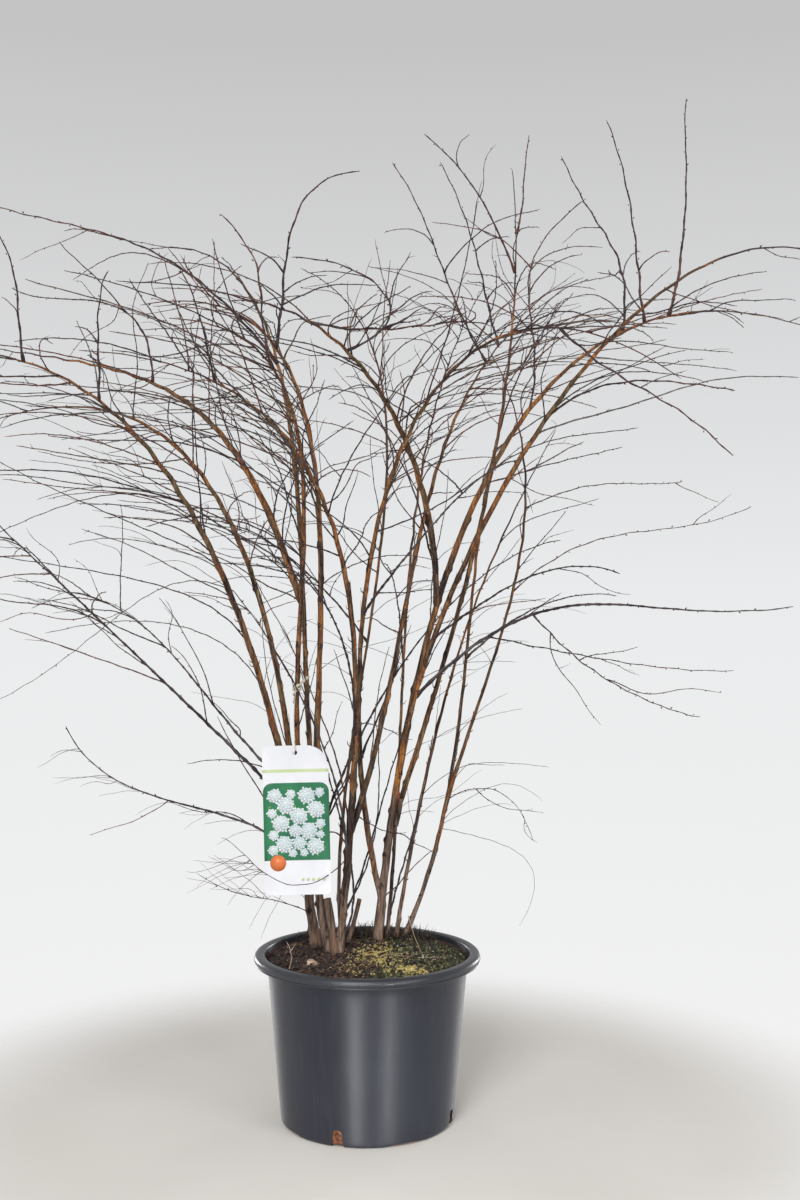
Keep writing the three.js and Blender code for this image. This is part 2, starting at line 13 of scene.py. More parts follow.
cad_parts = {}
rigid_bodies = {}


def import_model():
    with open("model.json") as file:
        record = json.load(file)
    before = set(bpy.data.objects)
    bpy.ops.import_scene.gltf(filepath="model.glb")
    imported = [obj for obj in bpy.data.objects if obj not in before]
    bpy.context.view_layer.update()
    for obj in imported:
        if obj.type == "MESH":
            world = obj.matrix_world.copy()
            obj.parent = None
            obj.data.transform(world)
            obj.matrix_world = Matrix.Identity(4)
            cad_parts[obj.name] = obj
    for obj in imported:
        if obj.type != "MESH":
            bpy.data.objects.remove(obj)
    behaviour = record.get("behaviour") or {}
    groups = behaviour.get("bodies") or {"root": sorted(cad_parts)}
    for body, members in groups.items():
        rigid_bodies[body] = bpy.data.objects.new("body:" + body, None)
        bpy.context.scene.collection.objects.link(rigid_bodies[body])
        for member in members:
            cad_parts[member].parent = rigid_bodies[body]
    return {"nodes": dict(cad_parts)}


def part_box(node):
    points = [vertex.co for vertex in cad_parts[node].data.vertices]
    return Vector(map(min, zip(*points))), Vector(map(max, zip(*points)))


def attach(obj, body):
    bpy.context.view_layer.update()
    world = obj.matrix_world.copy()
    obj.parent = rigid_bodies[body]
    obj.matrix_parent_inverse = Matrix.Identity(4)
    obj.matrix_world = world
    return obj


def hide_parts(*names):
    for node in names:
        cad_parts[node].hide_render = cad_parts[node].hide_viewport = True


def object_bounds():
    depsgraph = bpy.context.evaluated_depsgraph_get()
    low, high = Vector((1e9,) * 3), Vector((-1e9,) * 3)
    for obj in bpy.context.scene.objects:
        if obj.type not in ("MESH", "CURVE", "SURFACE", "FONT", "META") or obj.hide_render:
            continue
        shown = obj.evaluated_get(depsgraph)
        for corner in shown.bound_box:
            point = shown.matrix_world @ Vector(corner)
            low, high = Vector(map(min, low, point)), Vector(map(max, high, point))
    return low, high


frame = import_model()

cad_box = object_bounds()
nodes = sorted(frame["nodes"])
scene = bpy.context.scene

MM = 0.001
ACROSS = np.array([1.0, 0.0, 0.0])
BACK = np.array([0.0, 1.0, 0.0])
UP = np.array([0.0, 0.0, 1.0])


# ---------------- materials
def rgb(red, green, blue):
    """A screen colour, 0 to 255, as the linear one that a shader takes."""
    shares = (value / 255 for value in (red, green, blue))
    return (*(s / 12.92 if s < 0.04045 else ((s + 0.055) / 1.055) ** 2.4 for s in shares), 1.0)


class Nodes:
    """The shader nodes of a material or of the world."""

    def __init__(self, owner):
        owner.use_nodes = True
        self.tree = owner.node_tree

    def put(self, value, socket):
        """A socket takes a number, a colour or what another node gives."""
        if isinstance(value, bpy.types.NodeSocket):
            self.tree.links.new(value, socket)
        else:
            socket.default_value = value

    def node(self, kind, inputs=None, **settings):
        node = self.tree.nodes.new("ShaderNode" + kind)
        for name, value in settings.items():
            setattr(node, name, value)
        for name, value in (inputs or {}).items():
            self.put(value, node.inputs[name])
        return node

    def ramp(self, source, *stops):
        """Each stop is a position and a screen colour or a linear grey."""
        node = self.node("ValToRGB", {"Fac": source})
        elements = node.color_ramp.elements
        while len(elements) < len(stops):
            elements.new(0.5)
        for element, (position, colour) in zip(elements, stops):
            element.position = position
            element.color = rgb(*colour) if isinstance(colour, tuple) else (colour, colour, colour, 1.0)
        return node.outputs["Color"]

    def spread(self, source, low, high, to_low, to_high, **settings):
        """The range low to high of a value, spread over another range."""
        names = ("Value", "From Min", "From Max", "To Min", "To Max")
        inputs = dict(zip(names, (source, low, high, to_low, to_high)))
        return self.node("MapRange", inputs, **settings).outputs["Result"]

    def product(self, first, second):
        return self.node("Math", {0: first, 1: second}, operation="MULTIPLY").outputs["Value"]


class Look(Nodes):
    """A procedural material: one Principled shader and the textures that feed it."""

    def __init__(self, name, roughness=0.7, specular=0.5):
        self.material = bpy.data.materials.new(name)
        super().__init__(self.material)
        self.shader = self.tree.nodes["Principled BSDF"]
        self.feed("Roughness", roughness)
        self.feed("Specular IOR Level", specular)

    def feed(self, socket, source):
        self.put(source, self.shader.inputs[socket])

    def place(self, stretch):
        coordinates = self.node("TexCoord").outputs["Object"]
        return self.node("Mapping", {"Vector": coordinates, "Scale": stretch}).outputs["Vector"]

    def noise(self, scale, detail=3.0, stretch=(1, 1, 1), distortion=0.0):
        inputs = {"Vector": self.place(stretch), "Scale": scale, "Detail": detail, "Distortion": distortion}
        return self.node("TexNoise", inputs).outputs["Fac"]

    def level(self, source, low, high):
        """A texture's middle range, 0.3 to 0.7, spread over low to high."""
        return self.spread(source, 0.3, 0.7, low, high)

    def mix(self, share, first, second, blend="MIX"):
        inputs = {0: share, 6: first, 7: second}
        return self.node("Mix", inputs, data_type="RGBA", blend_type=blend).outputs[2]

    def paint(self, tone, grain, share, shade, low, high):
        """The base colour: a tone that takes on a shade where the grain is low."""
        marks = self.ramp(grain, (low, shade), (high, 1.0))
        self.feed("Base Color", self.mix(share, tone, marks, "MULTIPLY"))

    def bump(self, *heights):
        """Each height is a texture and its depth in metres."""
        normal = {}
        for source, distance in heights:
            inputs = {"Height": source, "Distance": distance, "Strength": 1.0, **normal}
            normal = {"Normal": self.node("Bump", inputs).outputs["Normal"]}
        self.feed("Normal", normal["Normal"])


def bark_look(name, dark, middle, light, patch, patch_share):
    """Fibrous bark: streaks that run up the stem, with patches where the outer layer has gone."""
    look = Look(name, specular=0.25)
    fibres = look.noise(420, 4, (1, 1, 0.09), 0.4)
    streaks = look.noise(130, 3, (1, 1, 0.14), 0.6)
    patches = look.noise(34, 3, (1, 1, 0.35), 0.8)
    tone = look.ramp(streaks, (0.28, dark), (0.5, middle), (0.74, light))
    cover = look.ramp(patches, (0.62 - patch_share, 0.0), (0.72 - patch_share, 1.0))
    look.paint(look.mix(cover, tone, rgb(*patch)), fibres, 0.75, (105, 100, 98), 0.3, 0.62)
    look.feed("Roughness", look.level(fibres, 0.92, 0.62))
    look.bump((streaks, 0.0012), (fibres, 0.0006))
    return look.material


def twig_look(name, dark, light):
    """Smooth young bark with small spots and a darker tone at random."""
    look = Look(name, specular=0.3)
    spots = look.noise(900, 2)
    tone = look.ramp(look.noise(26, 3), (0.34, dark), (0.66, light))
    look.paint(tone, spots, 0.6, (150, 146, 146), 0.35, 0.6)
    look.feed("Roughness", look.level(spots, 0.75, 0.5))
    look.bump((spots, 0.0002))
    return look.material


def pot_look(name, dark, light, roughness, grain):
    """Thin moulded plastic with a fine turned grain, which draws each highlight out upright."""
    look = Look(name, roughness, specular=0.6)
    look.feed("Anisotropic", grain)
    look.feed("Anisotropic Rotation", 0.25)
    clouds = look.noise(7, 4)
    scuffs = look.noise(150, 3, (1, 1, 0.06), 0.5)
    haze = look.ramp(scuffs, (0.5, 0.0), (0.9, 0.07))
    look.feed("Base Color", look.mix(haze, look.ramp(clouds, (0.3, dark), (0.7, light)), rgb(120, 120, 128)))
    look.feed("Roughness", look.level(clouds, roughness - 0.05, roughness + 0.05))
    look.bump((clouds, 0.0004), (look.noise(24, 3), 0.0003))
    return look.material


def earth_look(name, dark, middle, light):
    """Crumbly, dull ground or grain."""
    look = Look(name, 0.95, specular=0.2)
    lumps = look.noise(160, 5)
    grains = look.noise(900, 3)
    tone = look.ramp(lumps, (0.3, dark), (0.52, middle), (0.75, light))
    look.paint(tone, grains, 0.8, (120, 116, 112), 0.3, 0.65)
    look.bump((lumps, 0.0016), (grains, 0.0006))
    return look.material


def plain_look(name, dark, light, roughness, specular=0.5, scale=300.0, depth=0.00005):
    """A smooth surface with a faint cloud of tone and a faint grain."""
    look = Look(name, roughness, specular)
    look.feed("Base Color", look.ramp(look.noise(scale / 12), (0.3, dark), (0.7, light)))
    look.bump((look.noise(scale * 4), depth))
    return look.material


BARK_LOOKS = [
    bark_look("bark_foot", (60, 49, 45), (114, 94, 81), (158, 134, 116), (128, 98, 78), 0.0),
    bark_look("bark_brown", (50, 40, 33), (104, 82, 58), (142, 116, 82), (134, 84, 58), 0.05),
    bark_look("bark_amber", (74, 46, 34), (138, 88, 54), (172, 122, 74), (176, 116, 56), 0.05),
    bark_look("bark_dark", (34, 27, 27), (66, 51, 45), (98, 78, 66), (104, 66, 50), -0.02),
    bark_look("lichen", (92, 88, 34), (158, 150, 52), (196, 188, 84), (150, 140, 60), 0.0),
]
FOOT, BROWN, AMBER, DARK, LICHEN = range(5)
TWIG_LOOKS = [
    twig_look("twig_plum", (44, 34, 37), (78, 62, 64)),
    twig_look("twig_red", (72, 42, 36), (116, 74, 60)),
    twig_look("twig_brown", (62, 46, 38), (104, 80, 64)),
    twig_look("twig_grey", (66, 60, 60), (110, 102, 100)),
]
PLUM, RED, TAN, GREY = range(4)
POT_LOOKS = [
    pot_look("pot_wall", (25, 27, 36), (34, 37, 48), 0.44, 0.83),
    pot_look("pot_rim", (30, 32, 38), (42, 44, 50), 0.37, 0.2),
    # the inside of the pot is the same dark plastic; its purple-brown tone is a painted reflection of the
    # soil
    pot_look("pot_inside", (58, 42, 46), (86, 62, 62), 0.6, 0.0),
]
SOIL_LOOKS = [
    earth_look("soil_dark", (38, 33, 32), (72, 63, 60), (114, 102, 96)),
    earth_look("soil_brown", (58, 44, 38), (102, 80, 70), (144, 118, 104)),
    earth_look("moss_green", (50, 54, 44), (90, 94, 72), (140, 142, 106)),
    earth_look("soil_rust", (78, 48, 36), (136, 90, 66), (180, 134, 106)),
    earth_look("chip_pale", (170, 140, 116), (214, 188, 162), (238, 222, 200)),
    earth_look("grain_ochre", (186, 160, 90), (224, 204, 130), (242, 230, 176)),
    earth_look("grain_white", (176, 170, 158), (208, 204, 194), (228, 226, 220)),
]
EARTH, LOAM, MOSS, RUST, PALE, OCHRE, WHITE = range(7)
INKS = (
    ("ink_green", (38, 104, 72), (52, 128, 88)),
    ("ink_leaf", (96, 150, 88), (120, 168, 104)),
    ("ink_cream", (218, 226, 230), (234, 238, 240)),
    ("ink_mist", (188, 206, 210), (208, 220, 220)),
    ("ink_orange", (216, 108, 56), (230, 132, 74)),
    ("ink_lime", (188, 204, 150), (204, 216, 170)),
)
CARD_LOOKS = [plain_look("card_white", (222, 223, 228), (234, 234, 238), 0.38)]
CARD_LOOKS += [plain_look(*row, 0.36) for row in INKS]
CARD, GREEN, LEAF, CREAM, MIST, ORANGE, LIME = range(7)
STRING_LOOK = plain_look("string_pale", (196, 186, 166), (224, 216, 200), 0.8, 0.2, 900, 0.0002)


# ---------------- meshes
def unit(vectors):
    return vectors / np.maximum(np.linalg.norm(vectors, axis=-1, keepdims=True), 1e-12)


def circle(count):
    """Even angles round a circle."""
    return 2 * np.pi * np.arange(count) / count


def turned(first, second, angle):
    """Two coordinates turned by an angle."""
    cosine, sine = np.cos(angle), np.sin(angle)
    return first * cosine - second * sine, first * sine + second * cosine


def add_object(name, data):
    made = bpy.data.objects.new(name, data)
    scene.collection.objects.link(made)
    return made


def finished(made, name):
    """An object of a bmesh."""
    mesh = bpy.data.meshes.new(name)
    made.to_mesh(mesh)
    made.free()
    return add_object(name, mesh)


class Heap:
    """Points and faces gathered into one mesh, each face with the slot of its material."""

    def __init__(self, name, looks, slot):
        self.name, self.looks, self.slot = name, looks, slot
        self.points, self.faces, self.slots, self.count = [], [], [], 0

    def add(self, points, faces, slots=0):
        """Faces are lists of indices into these points; slots is one number or one a face."""
        self.points.append(points)
        self.faces.extend([[index + self.count for index in face] for face in faces])
        self.slots.extend([slots] * len(faces) if np.isscalar(slots) else slots)
        self.count += len(points)

    def copies(self, points, faces, slot):
        """Copies of one small shape: points is (copies, corners, 3) and faces index one copy."""
        number, corners, _ = points.shape
        offsets = self.count + corners * np.arange(number)
        for face in faces:
            self.faces.extend((offsets[:, None] + np.array(face)).tolist())
        self.slots.extend([slot] * number * len(faces))
        self.points.append(points.reshape(-1, 3))
        self.count += number * corners

    def build(self, replaced=(), smooth=True):
        mesh = bpy.data.meshes.new(self.name)
        mesh.from_pydata(np.concatenate(self.points).tolist(), [], self.faces)
        mesh.polygons.foreach_set("material_index", np.array(self.slots, dtype=np.int32))
        mesh.polygons.foreach_set("use_smooth", np.full(len(self.faces), smooth))
        for look in self.looks:
            mesh.materials.append(look)
        mesh.update()
        piece = add_object(self.name, mesh)
        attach(piece, "root")
        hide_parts(*replaced)
        return piece


FACES = {}


def tube_faces(rings, sides):
    """The faces of a tube, side by side and ring by ring, then its two ends."""
    if (rings, sides) not in FACES:
        start = sides * np.arange(rings - 1)[:, None]
        this, following = np.arange(sides), (np.arange(sides) + 1) % sides
        quads = np.stack([start + this, start + following, start + sides + following, start + sides + this])
        faces = quads.transpose(1, 2, 0).reshape(-1, 4).tolist()
        last = sides * (rings - 1)
        FACES[rings, sides] = [*faces, list(range(sides))[::-1], list(range(last, last + sides))]
    return FACES[rings, sides]


def tube(path, radii, sides, flat=1.0):
    """A closed tube along a path. radii holds one number in all, one a ring or one a point of each ring."""
    path = np.asarray(path)
    tangents = unit(np.gradient(path, axis=0))
    chord = path[-1] - path[0]
    normal = np.cross(path[len(path) // 2] - path[0], chord)
    if np.linalg.norm(normal) < 1e-7:
        normal = np.cross(chord, UP if abs(unit(chord)[2]) < 0.9 else ACROSS)
    across = unit(normal - tangents * (tangents @ normal)[:, None])
    along = np.cross(tangents, across)
    angles = circle(sides)[:, None]
    rings = across[:, None] * np.cos(angles) + along[:, None] * (flat * np.sin(angles))
    radii = np.asarray(radii)
    if radii.ndim < 2:
        radii = radii.reshape(-1, 1)
    points = path[:, None] + rings * np.broadcast_to(radii, (len(path), sides))[..., None]
    return points.reshape(-1, 3), tube_faces(len(path), sides)


def waves(x):
    """A triangle wave of height 1 and length 1 that starts at 0."""
    return np.arcsin(np.sin(2 * np.pi * x)) * 2 / np.pi


def smooth(value, low, high):
    """0 at low, 1 at high and an even passage between them."""
    share = np.clip((value - low) / (high - low), 0.0, 1.0)
    return share * share * (3 - 2 * share)


def between(low, high, share):
    return low + (high - low) * share


def field(points, stretch, offset=0.0):
    """Smooth noise, about -1 to 1, at each of the points."""
    shift = Vector((offset, offset * 0.7, offset * 1.3))
    flat = (points * np.array(stretch)).reshape(-1, 3)
    return np.array([noise.noise(Vector(p) + shift) for p in flat]).reshape(points.shape[:-1])


# ---------------- limbs, as in the part's source
THIN = 1.2 * MM
SOIL_TOP = 264
GAP = 0.3 * MM
CLEAR = 9 * MM
FOOT_FLARE = 0.25
SPHERE_STEP, SHARED, BOX_SLACK = 11 * MM, 35 * MM, 4 * MM
HIGHEST = 1625 * MM
GOLDEN = 2.4  # the turn from one bud or twig to the next


class Shoot:
    """A limb or a twig: a curve through control points with a slight sway of its own."""

    def __init__(self, controls, thick, thin, taper, mass, dice, sway, kink, tone=PLUM, pitch=1.0):
        self.controls = [np.asarray(control, dtype=float) for control in controls]
        self.thick, self.thin, self.taper, self.mass, self.tone = thick, thin, taper, mass, tone
        chord = unit(self.controls[-1] - self.controls[0])
        self.side = unit(np.cross(chord, unit(np.array([dice.uniform(-1, 1) for _ in range(3)]))))
        self.other = np.cross(chord, self.side)
        self.sway, self.kink, self.pitch = sway, kink, pitch
        self.turns = (dice.uniform(0.5, 1.3), dice.uniform(0.4, 1.6))
        self.length = 1.0
        steps = np.diff(self.point(np.linspace(0, 1, 61)), axis=0)
        self.length = float(np.linalg.norm(steps, axis=1).sum())
        self.flare = 0.0
        self.start = 0.0

    def point(self, t):
        t = np.asarray(t, dtype=float)[..., None]
        degree = len(self.controls) - 1
        curve = sum(
            math.comb(degree, i) * t**i * (1 - t) ** (degree - i) * control
            for i, control in enumerate(self.controls)
        )
        waving = np.sin(2 * np.pi * self.turns[0] * t) * self.side
        waving = waving + (1 - np.cos(2 * np.pi * self.turns[1] * t)) / 2 * self.other
        run = t * self.length / self.pitch
        kinks = waves(run / 0.061) * self.side + waves(run / 0.094) * self.other
        return curve + self.sway * waving + self.kink * kinks

    def tangent(self, t):
        return unit(self.point(min(t + 1e-3, 1.0)) - self.point(max(t - 1e-3, 0.0)))

    def radius(self, t):
        radius = self.thin + (self.thick - self.thin) * (1 - np.asarray(t)) ** self.taper
        if not self.flare:
            return radius
        height = self.point(t)[..., 2] - SOIL_TOP * MM
        return radius * (1 + self.flare * np.exp(-height / (20 * MM)))


limbs = {}
STOUT, MIDDLING = 6 * MM, 4 * MM


def limb(name, on, at, thick, bare, *bends):
    """A stem stands on the soil at a place, any other limb on a limb at a share of its length. Its
    thickness is a radius at the root, a share of its own length is clean wood, and it bends at three
    more places. All lengths are in millimetres."""
    parent = limbs.get(on)
    root = parent.point(at) if parent else np.array([*at, SOIL_TOP]) * MM
    mass = name if parent is None or bare or at < parent.bare else parent.mass
    controls = [root, *(np.array(bend) * MM for bend in bends)]
    dice = random.Random(f"limb {name}")
    made = Shoot(controls, thick * MM, THIN, 1.4, mass, dice, 2.2 * MM, 0.35 * MM)
    made.name, made.parent, made.at, made.bare = name, parent, at, bare
    made.flare = 0.0 if parent else FOOT_FLARE
    limbs[name] = made


# what limb takes; low branches and those of the crown have no clean wood, and the latter are numbered
STEMS_AND_BOUGHS = (
    ("left", None, (-85, 50), 8, 0.5, (-120, 30, 580), (-250, -105, 1285), (-650, -260, 1170)),
    ("left_2", "left", 0.155, 5.5, 0.38, (-150, 65, 840), (-240, 120, 1310), (-740, 220, 1105)),
    ("middle", None, (-60, 5), 7, 0.5, (-150, -10, 560), (90, -180, 1340), (-310, -300, 1235)),
    ("middle_2", "middle", 0.13, 5.5, 0.46, (-185, -25, 735), (45, -245, 1215), (-240, -480, 1185)),
    ("middle_3", "middle", 0.22, 4.5, 0.34, (-130, 5, 790), (-60, 270, 1515), (-420, 380, 1470)),
    ("middle_4", "middle_2", 0.39, 4.2, 0.2, (-220, -15, 1205), (-390, 100, 1205), (-715, 280, 1280)),
    ("front", None, (-44, -10), 6.5, 0.52, (-20, -50, 615), (80, -165, 1175), (-375, -380, 1160)),
    ("front_2", "front", 0.17, 5, 0.42, (90, 10, 770), (50, 195, 1185), (345, 340, 1385)),
    ("right", None, (15, 75), 7.5, 0.48, (45, 60, 635), (170, -10, 1450), (690, -100, 1235)),
    ("right_2", "right", 0.06, 5, 0.42, (-85, 20, 705), (30, -155, 1465), (420, -400, 1120)),
    ("right_3", "right", 0.14, 5, 0.42, (140, 75, 765), (280, 115, 1185), (245, 160, 1555)),
    ("right_4", "right", 0.23, 4.8, 0.33, (90, -35, 825), (400, -230, 1500), (680, -340, 1270)),
    ("right_5", "right", 0.39, 4.5, 0.2, (110, -20, 1065), (-20, -250, 1265), (-165, -460, 1210)),
    ("low_back", None, (45, 95), 3.6, 0.5, (85, 110, 575), (185, 210, 870), (330, 300, 1130)),
    ("back_right", None, (60, 110), 4, 0.46, (220, 140, 615), (125, 300, 1085), (355, 420, 1375)),
    ("back_right_2", "back_right", 0.18, 3.4, 0.36, (195, 115, 725), (335, 40, 975), (190, -70, 1210)),
    ("back_left", None, (-45, 100), 3.2, 0.46, (-90, 120, 605), (195, 320, 1280), (-135, 420, 1445)),
    ("back", None, (30, 100), 3.2, 0.48, (65, 130, 640), (35, 285, 1095), (210, 400, 1410)),
)
LOW_BRANCHES = (
    ("low_left_1", "left", 0.2, 3.2, (-270, 5, 660), (-435, -85, 805), (-560, -200, 965)),
    ("low_left_2", "left", 0.23, 2.6, (-260, 55, 640), (-370, 170, 830), (-550, 260, 840)),
    ("low_left_3", "left", 0.12, 2.6, (-185, 25, 520), (-400, -50, 475), (-450, -140, 635)),
    ("low_front_1", "front", 0.13, 2.2, (-30, -90, 560), (-95, -165, 720), (-185, -240, 840)),
    ("low_left_4", "left", 0.05, 2, (-150, 35, 350), (-215, 10, 345), (-270, -20, 395)),
    ("low_right_1", "left", 0.1, 3, (-55, 75, 565), (105, 120, 890), (325, 150, 925)),
    ("low_right_2", "right", 0.29, 3.2, (305, -5, 910), (400, -50, 780), (625, -200, 815)),
    ("low_right_3", "back_right", 0.2, 1.8, (180, 120, 530), (240, 90, 520), (270, 60, 430)),
    ("low_front_2", "front", 0.3, 2.4, (-10, -200, 740), (-50, -390, 880), (-120, -540, 880)),
    ("low_front_3", "right_2", 0.35, 2.4, (60, -150, 900), (150, -340, 1010), (200, -540, 1000)),
    ("low_front_4", "right_4", 0.2, 2.2, (180, -120, 830), (270, -300, 900), (330, -480, 860)),
    ("low_back_1", "back_left", 0.38, 2, (-80, 250, 860), (-190, 370, 960), (-300, 470, 960)),
    ("low_back_2", "back_right", 0.4, 2.2, (260, 280, 800), (370, 400, 850), (470, 500, 830)),
    ("low_back_3", "back", 0.36, 2, (60, 270, 800), (40, 420, 900), (20, 560, 890)),
)
CROWN_BRANCHES = (
    ("low_right_2", 0.19, 1.8, (330, 25, 740), (465, 65, 705), (605, 100, 705)),
    ("low_right_2", 0.32, 1.8, (350, -55, 705), (410, -215, 670), (460, -340, 670)),
    ("back_right_2", 0.49, 1.8, (370, 45, 975), (470, 15, 905), (600, -50, 970)),
    ("back_right_2", 0.67, 1.6, (350, -5, 1020), (420, -200, 995), (445, -300, 990)),
    ("right", 0.53, 1.8, (290, 45, 1040), (365, 145, 1070), (440, 220, 1090)),
    ("right", 0.84, 2.6, (505, -55, 1380), (495, -40, 1500), (505, -20, 1615)),
    ("right", 0.81, 2.2, (410, -55, 1360), (415, -85, 1460), (365, -120, 1550)),
    ("right", 0.78, 2.2, (420, -15, 1400), (350, 45, 1445), (320, 120, 1565)),
    ("right_4", 0.49, 2, (340, -150, 1175), (460, -305, 1125), (495, -400, 1105)),
    ("right_2", 0.86, 1.8, (350, -325, 1125), (430, -380, 1085), (480, -450, 1015)),
    ("middle", 0.78, 2.6, (-110, -225, 1280), (-125, -260, 1425), (-5, -300, 1420)),
    ("front_2", 0.84, 2.2, (190, 265, 1385), (185, 280, 1495), (125, 300, 1610)),
    ("front_2", 0.8, 2, (120, 255, 1370), (125, 205, 1465), (40, 100, 1550)),
    ("right_3", 0.84, 2, (200, 125, 1490), (150, 65, 1535), (90, 0, 1565)),
    ("right_3", 0.9, 1.8, (265, 150, 1490), (265, 175, 1560), (275, 200, 1625)),
    ("right", 0.63, 1.8, (300, 20, 1290), (180, 25, 1345), (360, 100, 1490)),
    ("middle_3", 0.6, 2.6, (-355, 180, 1490), (-450, 160, 1430), (-685, 100, 1495)),
    ("left", 0.86, 2.2, (-505, -205, 1250), (-490, -245, 1310), (-520, -300, 1360)),
    ("left", 0.75, 2, (-385, -160, 1190), (-400, -205, 1260), (-360, -250, 1295)),
    ("middle_4", 0.54, 2, (-365, 110, 1385), (-520, 195, 1310), (-645, 300, 1385)),
    ("middle_2", 0.79, 1.8, (-150, -345, 1230), (-105, -355, 1265), (-185, -400, 1335)),
    ("front", 0.85, 1.8, (-220, -300, 1185), (-215, -320, 1235), (-245, -350, 1275)),
    ("right_5", 0.77, 1.8, (40, -320, 1175), (105, -335, 1225), (175, -350, 1195)),
    ("right_5", 0.65, 1.8, (125, -230, 1245), (-20, -220, 1320), (-105, -200, 1325)),
)
for row in STEMS_AND_BOUGHS:
    limb(*row)
for name, on, at, thick, *bends in LOW_BRANCHES:
    limb(name, on, at, thick, 0, *bends)
for number, (on, at, thick, *bends) in enumerate(CROWN_BRANCHES, 1):
    limb(f"crown_{number}", on, at, thick, 0, *bends)


# ---------------- the space of the masses
class Room:
    """Even spheres stand for the limbs and the shoots when a new one looks for a free way."""

    def __init__(self):
        self.middles, self.radii, self.owners = np.zeros((0, 3)), np.zeros(0), np.zeros(0)
        self.frame, self.masses = np.zeros((0, 3)), np.zeros(0, dtype="U16")
        self.last_owner = 0
        self.blocks = [np.array(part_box(node)) + [[-CLEAR], [CLEAR]] for node in ("pot", "label_card")]
        self.low, self.high = np.array(cad_box) + [[-BOX_SLACK], [BOX_SLACK]]

    def add(self, shoot, start, end, mass=None):
        """Clean wood and twigs have no mass, because they bound no space."""
        count = max(2, math.ceil(shoot.length * (end - start) / SPHERE_STEP))
        shares = np.linspace(start, end, count + 1)
        middles = shoot.point(shares)
        self.last_owner += 1
        self.middles = np.concatenate([self.middles, middles])
        self.radii = np.concatenate([self.radii, shoot.radius(shares)])
        self.owners = np.concatenate([self.owners, np.full(count + 1, self.last_owner)])
        if mass:
            self.frame = np.concatenate([self.frame, middles])
            self.masses = np.concatenate([self.masses, np.full(count + 1, mass)])
        return self.last_owner

    def clear_of_blocks(self, points):
        hit = [np.all((points > low) & (points < high), axis=1).any() for low, high in self.blocks]
        return points[:, 2].max() <= HIGHEST and not any(hit)

    def in_mass(self, points, mass, shared):
        """No point may be nearer to another mass than to its own, but for a shared depth."""
        distances = np.linalg.norm(points[:, None] - self.frame, axis=2)
        own = self.masses == mass
        return bool((distances[:, own].min(axis=1) < distances[:, ~own].min(axis=1) + shared).all())

    def is_free(self, points, radius, carrier):
        """The source's test: clear of every other limb and shoot, inside the space of its mass."""
        if not self.clear_of_blocks(points):
            return False
        clear = np.linalg.norm(points[:, None] - self.middles, axis=2) - self.radii - radius
        if (clear[:, self.owners != carrier.owner] < CLEAR).any():
            return False
        return self.in_mass(points, carrier.mass, SHARED)

    def has_space(self, points, mass, shared):
        """The finer twigs' test: inside the plant's box and inside the space of the mass."""
        inside = (points > self.low).all() and (points < self.high).all()
        return inside and self.clear_of_blocks(points) and self.in_mass(points, mass, shared)


def clear_start(branch):
    """The share of a branch where its end stands clear of the limb that carries it."""
    spine = branch.parent.point(np.linspace(0, 1, 400))
    for t in np.arange(0, 0.2, 0.4 * MM / branch.length):
        nearest = np.linalg.norm(spine - branch.point(t), axis=1).min()
        if nearest > branch.parent.radius(branch.at) + branch.radius(t) * 0.7 + GAP:
            return t
    return 0.0


room = Room()
for each in limbs.values():
    if each.bare:
        room.add(each, 0, each.bare)
        each.start = each.bare + GAP / each.length
    elif each.mass == each.name:
        each.start = clear_start(each)
    each.owner = room.add(each, each.start, 1, each.mass)


# ---------------- twigs of the part's source
def lcg(seed):
    """The source's random numbers."""
    state = seed
    while True:
        state = (state * 1664525 + 1013904223) & 0xFFFFFFFF
        yield state / 2**32


def outward(place):
    """The level way from the plant's axis to a place."""
    return unit(np.array([place[0], place[1], 0.0]))


def twig_controls(carrier, t, turn, opening, length, lift):
    """A twig leaves its carrier at an opening angle, turned round it, then bends outwards and lifts."""
    knee, outwards = 0.45, 0.7
    root = carrier.point(t)
    tangent = carrier.tangent(t)
    side = unit(np.cross(tangent, ACROSS if abs(tangent[2]) > 0.95 else UP))
    upper = np.cross(side, tangent)
    heading = tangent * math.cos(opening)
    heading = heading + math.sin(opening) * (side * math.cos(turn) + upper * math.sin(turn))
    bend = root + heading * length * knee
    leading = unit(heading + outward(root) * outwards + UP * lift)
    return [root, bend, bend + leading * length * (1 - knee)]


def source_shoots(carrier, seed):
    """The twigs of the part's source, from its own seeds."""
    spacing, longest = 62 * MM, 220 * MM
    chance = lcg(seed)
    dice = random.Random(seed)
    first = carrier.start + 22 * MM / carrier.length
    count = math.floor((1 - first) * carrier.length / spacing)
    longest = min(longest, 60 * MM + carrier.length * (1 - carrier.start) * 0.4)
    turn_first = next(chance) * math.pi * 2
    made = []
    for i in range(count):
        share = (i + between(0.35, 0.65, next(chance))) / count
        t = between(first, 1, share)
        turn = turn_first + i * GOLDEN + 0.6 * next(chance)
        opening = between(0.6, 1, next(chance))
        full = longest * (1 - 0.6 * share * share) * (1 - 0.45 * next(chance))
        lift = between(-0.25, 0.35, next(chance))
        radius = min(1.3 * MM, max(full / 170, float(carrier.radius(t)) * 0.55))
        tone = dice.choice([PLUM, PLUM, RED, TAN])
        for trim in (1, 0.72, 0.5):
            controls = twig_controls(carrier, t, turn, opening, full * trim, lift)
            sway = full * trim * dice.uniform(-0.07, 0.07)
            drawn = radius * 0.75
            shoot = Shoot(controls, drawn, drawn * 0.45, 0.8, carrier.mass, dice, sway, 0.8 * MM, tone)
            if room.is_free(shoot.point(np.arange(2, 13) / 12), radius, carrier):
                room.add(shoot, 0.2, 1)
                made.append(shoot)
                break
    return made


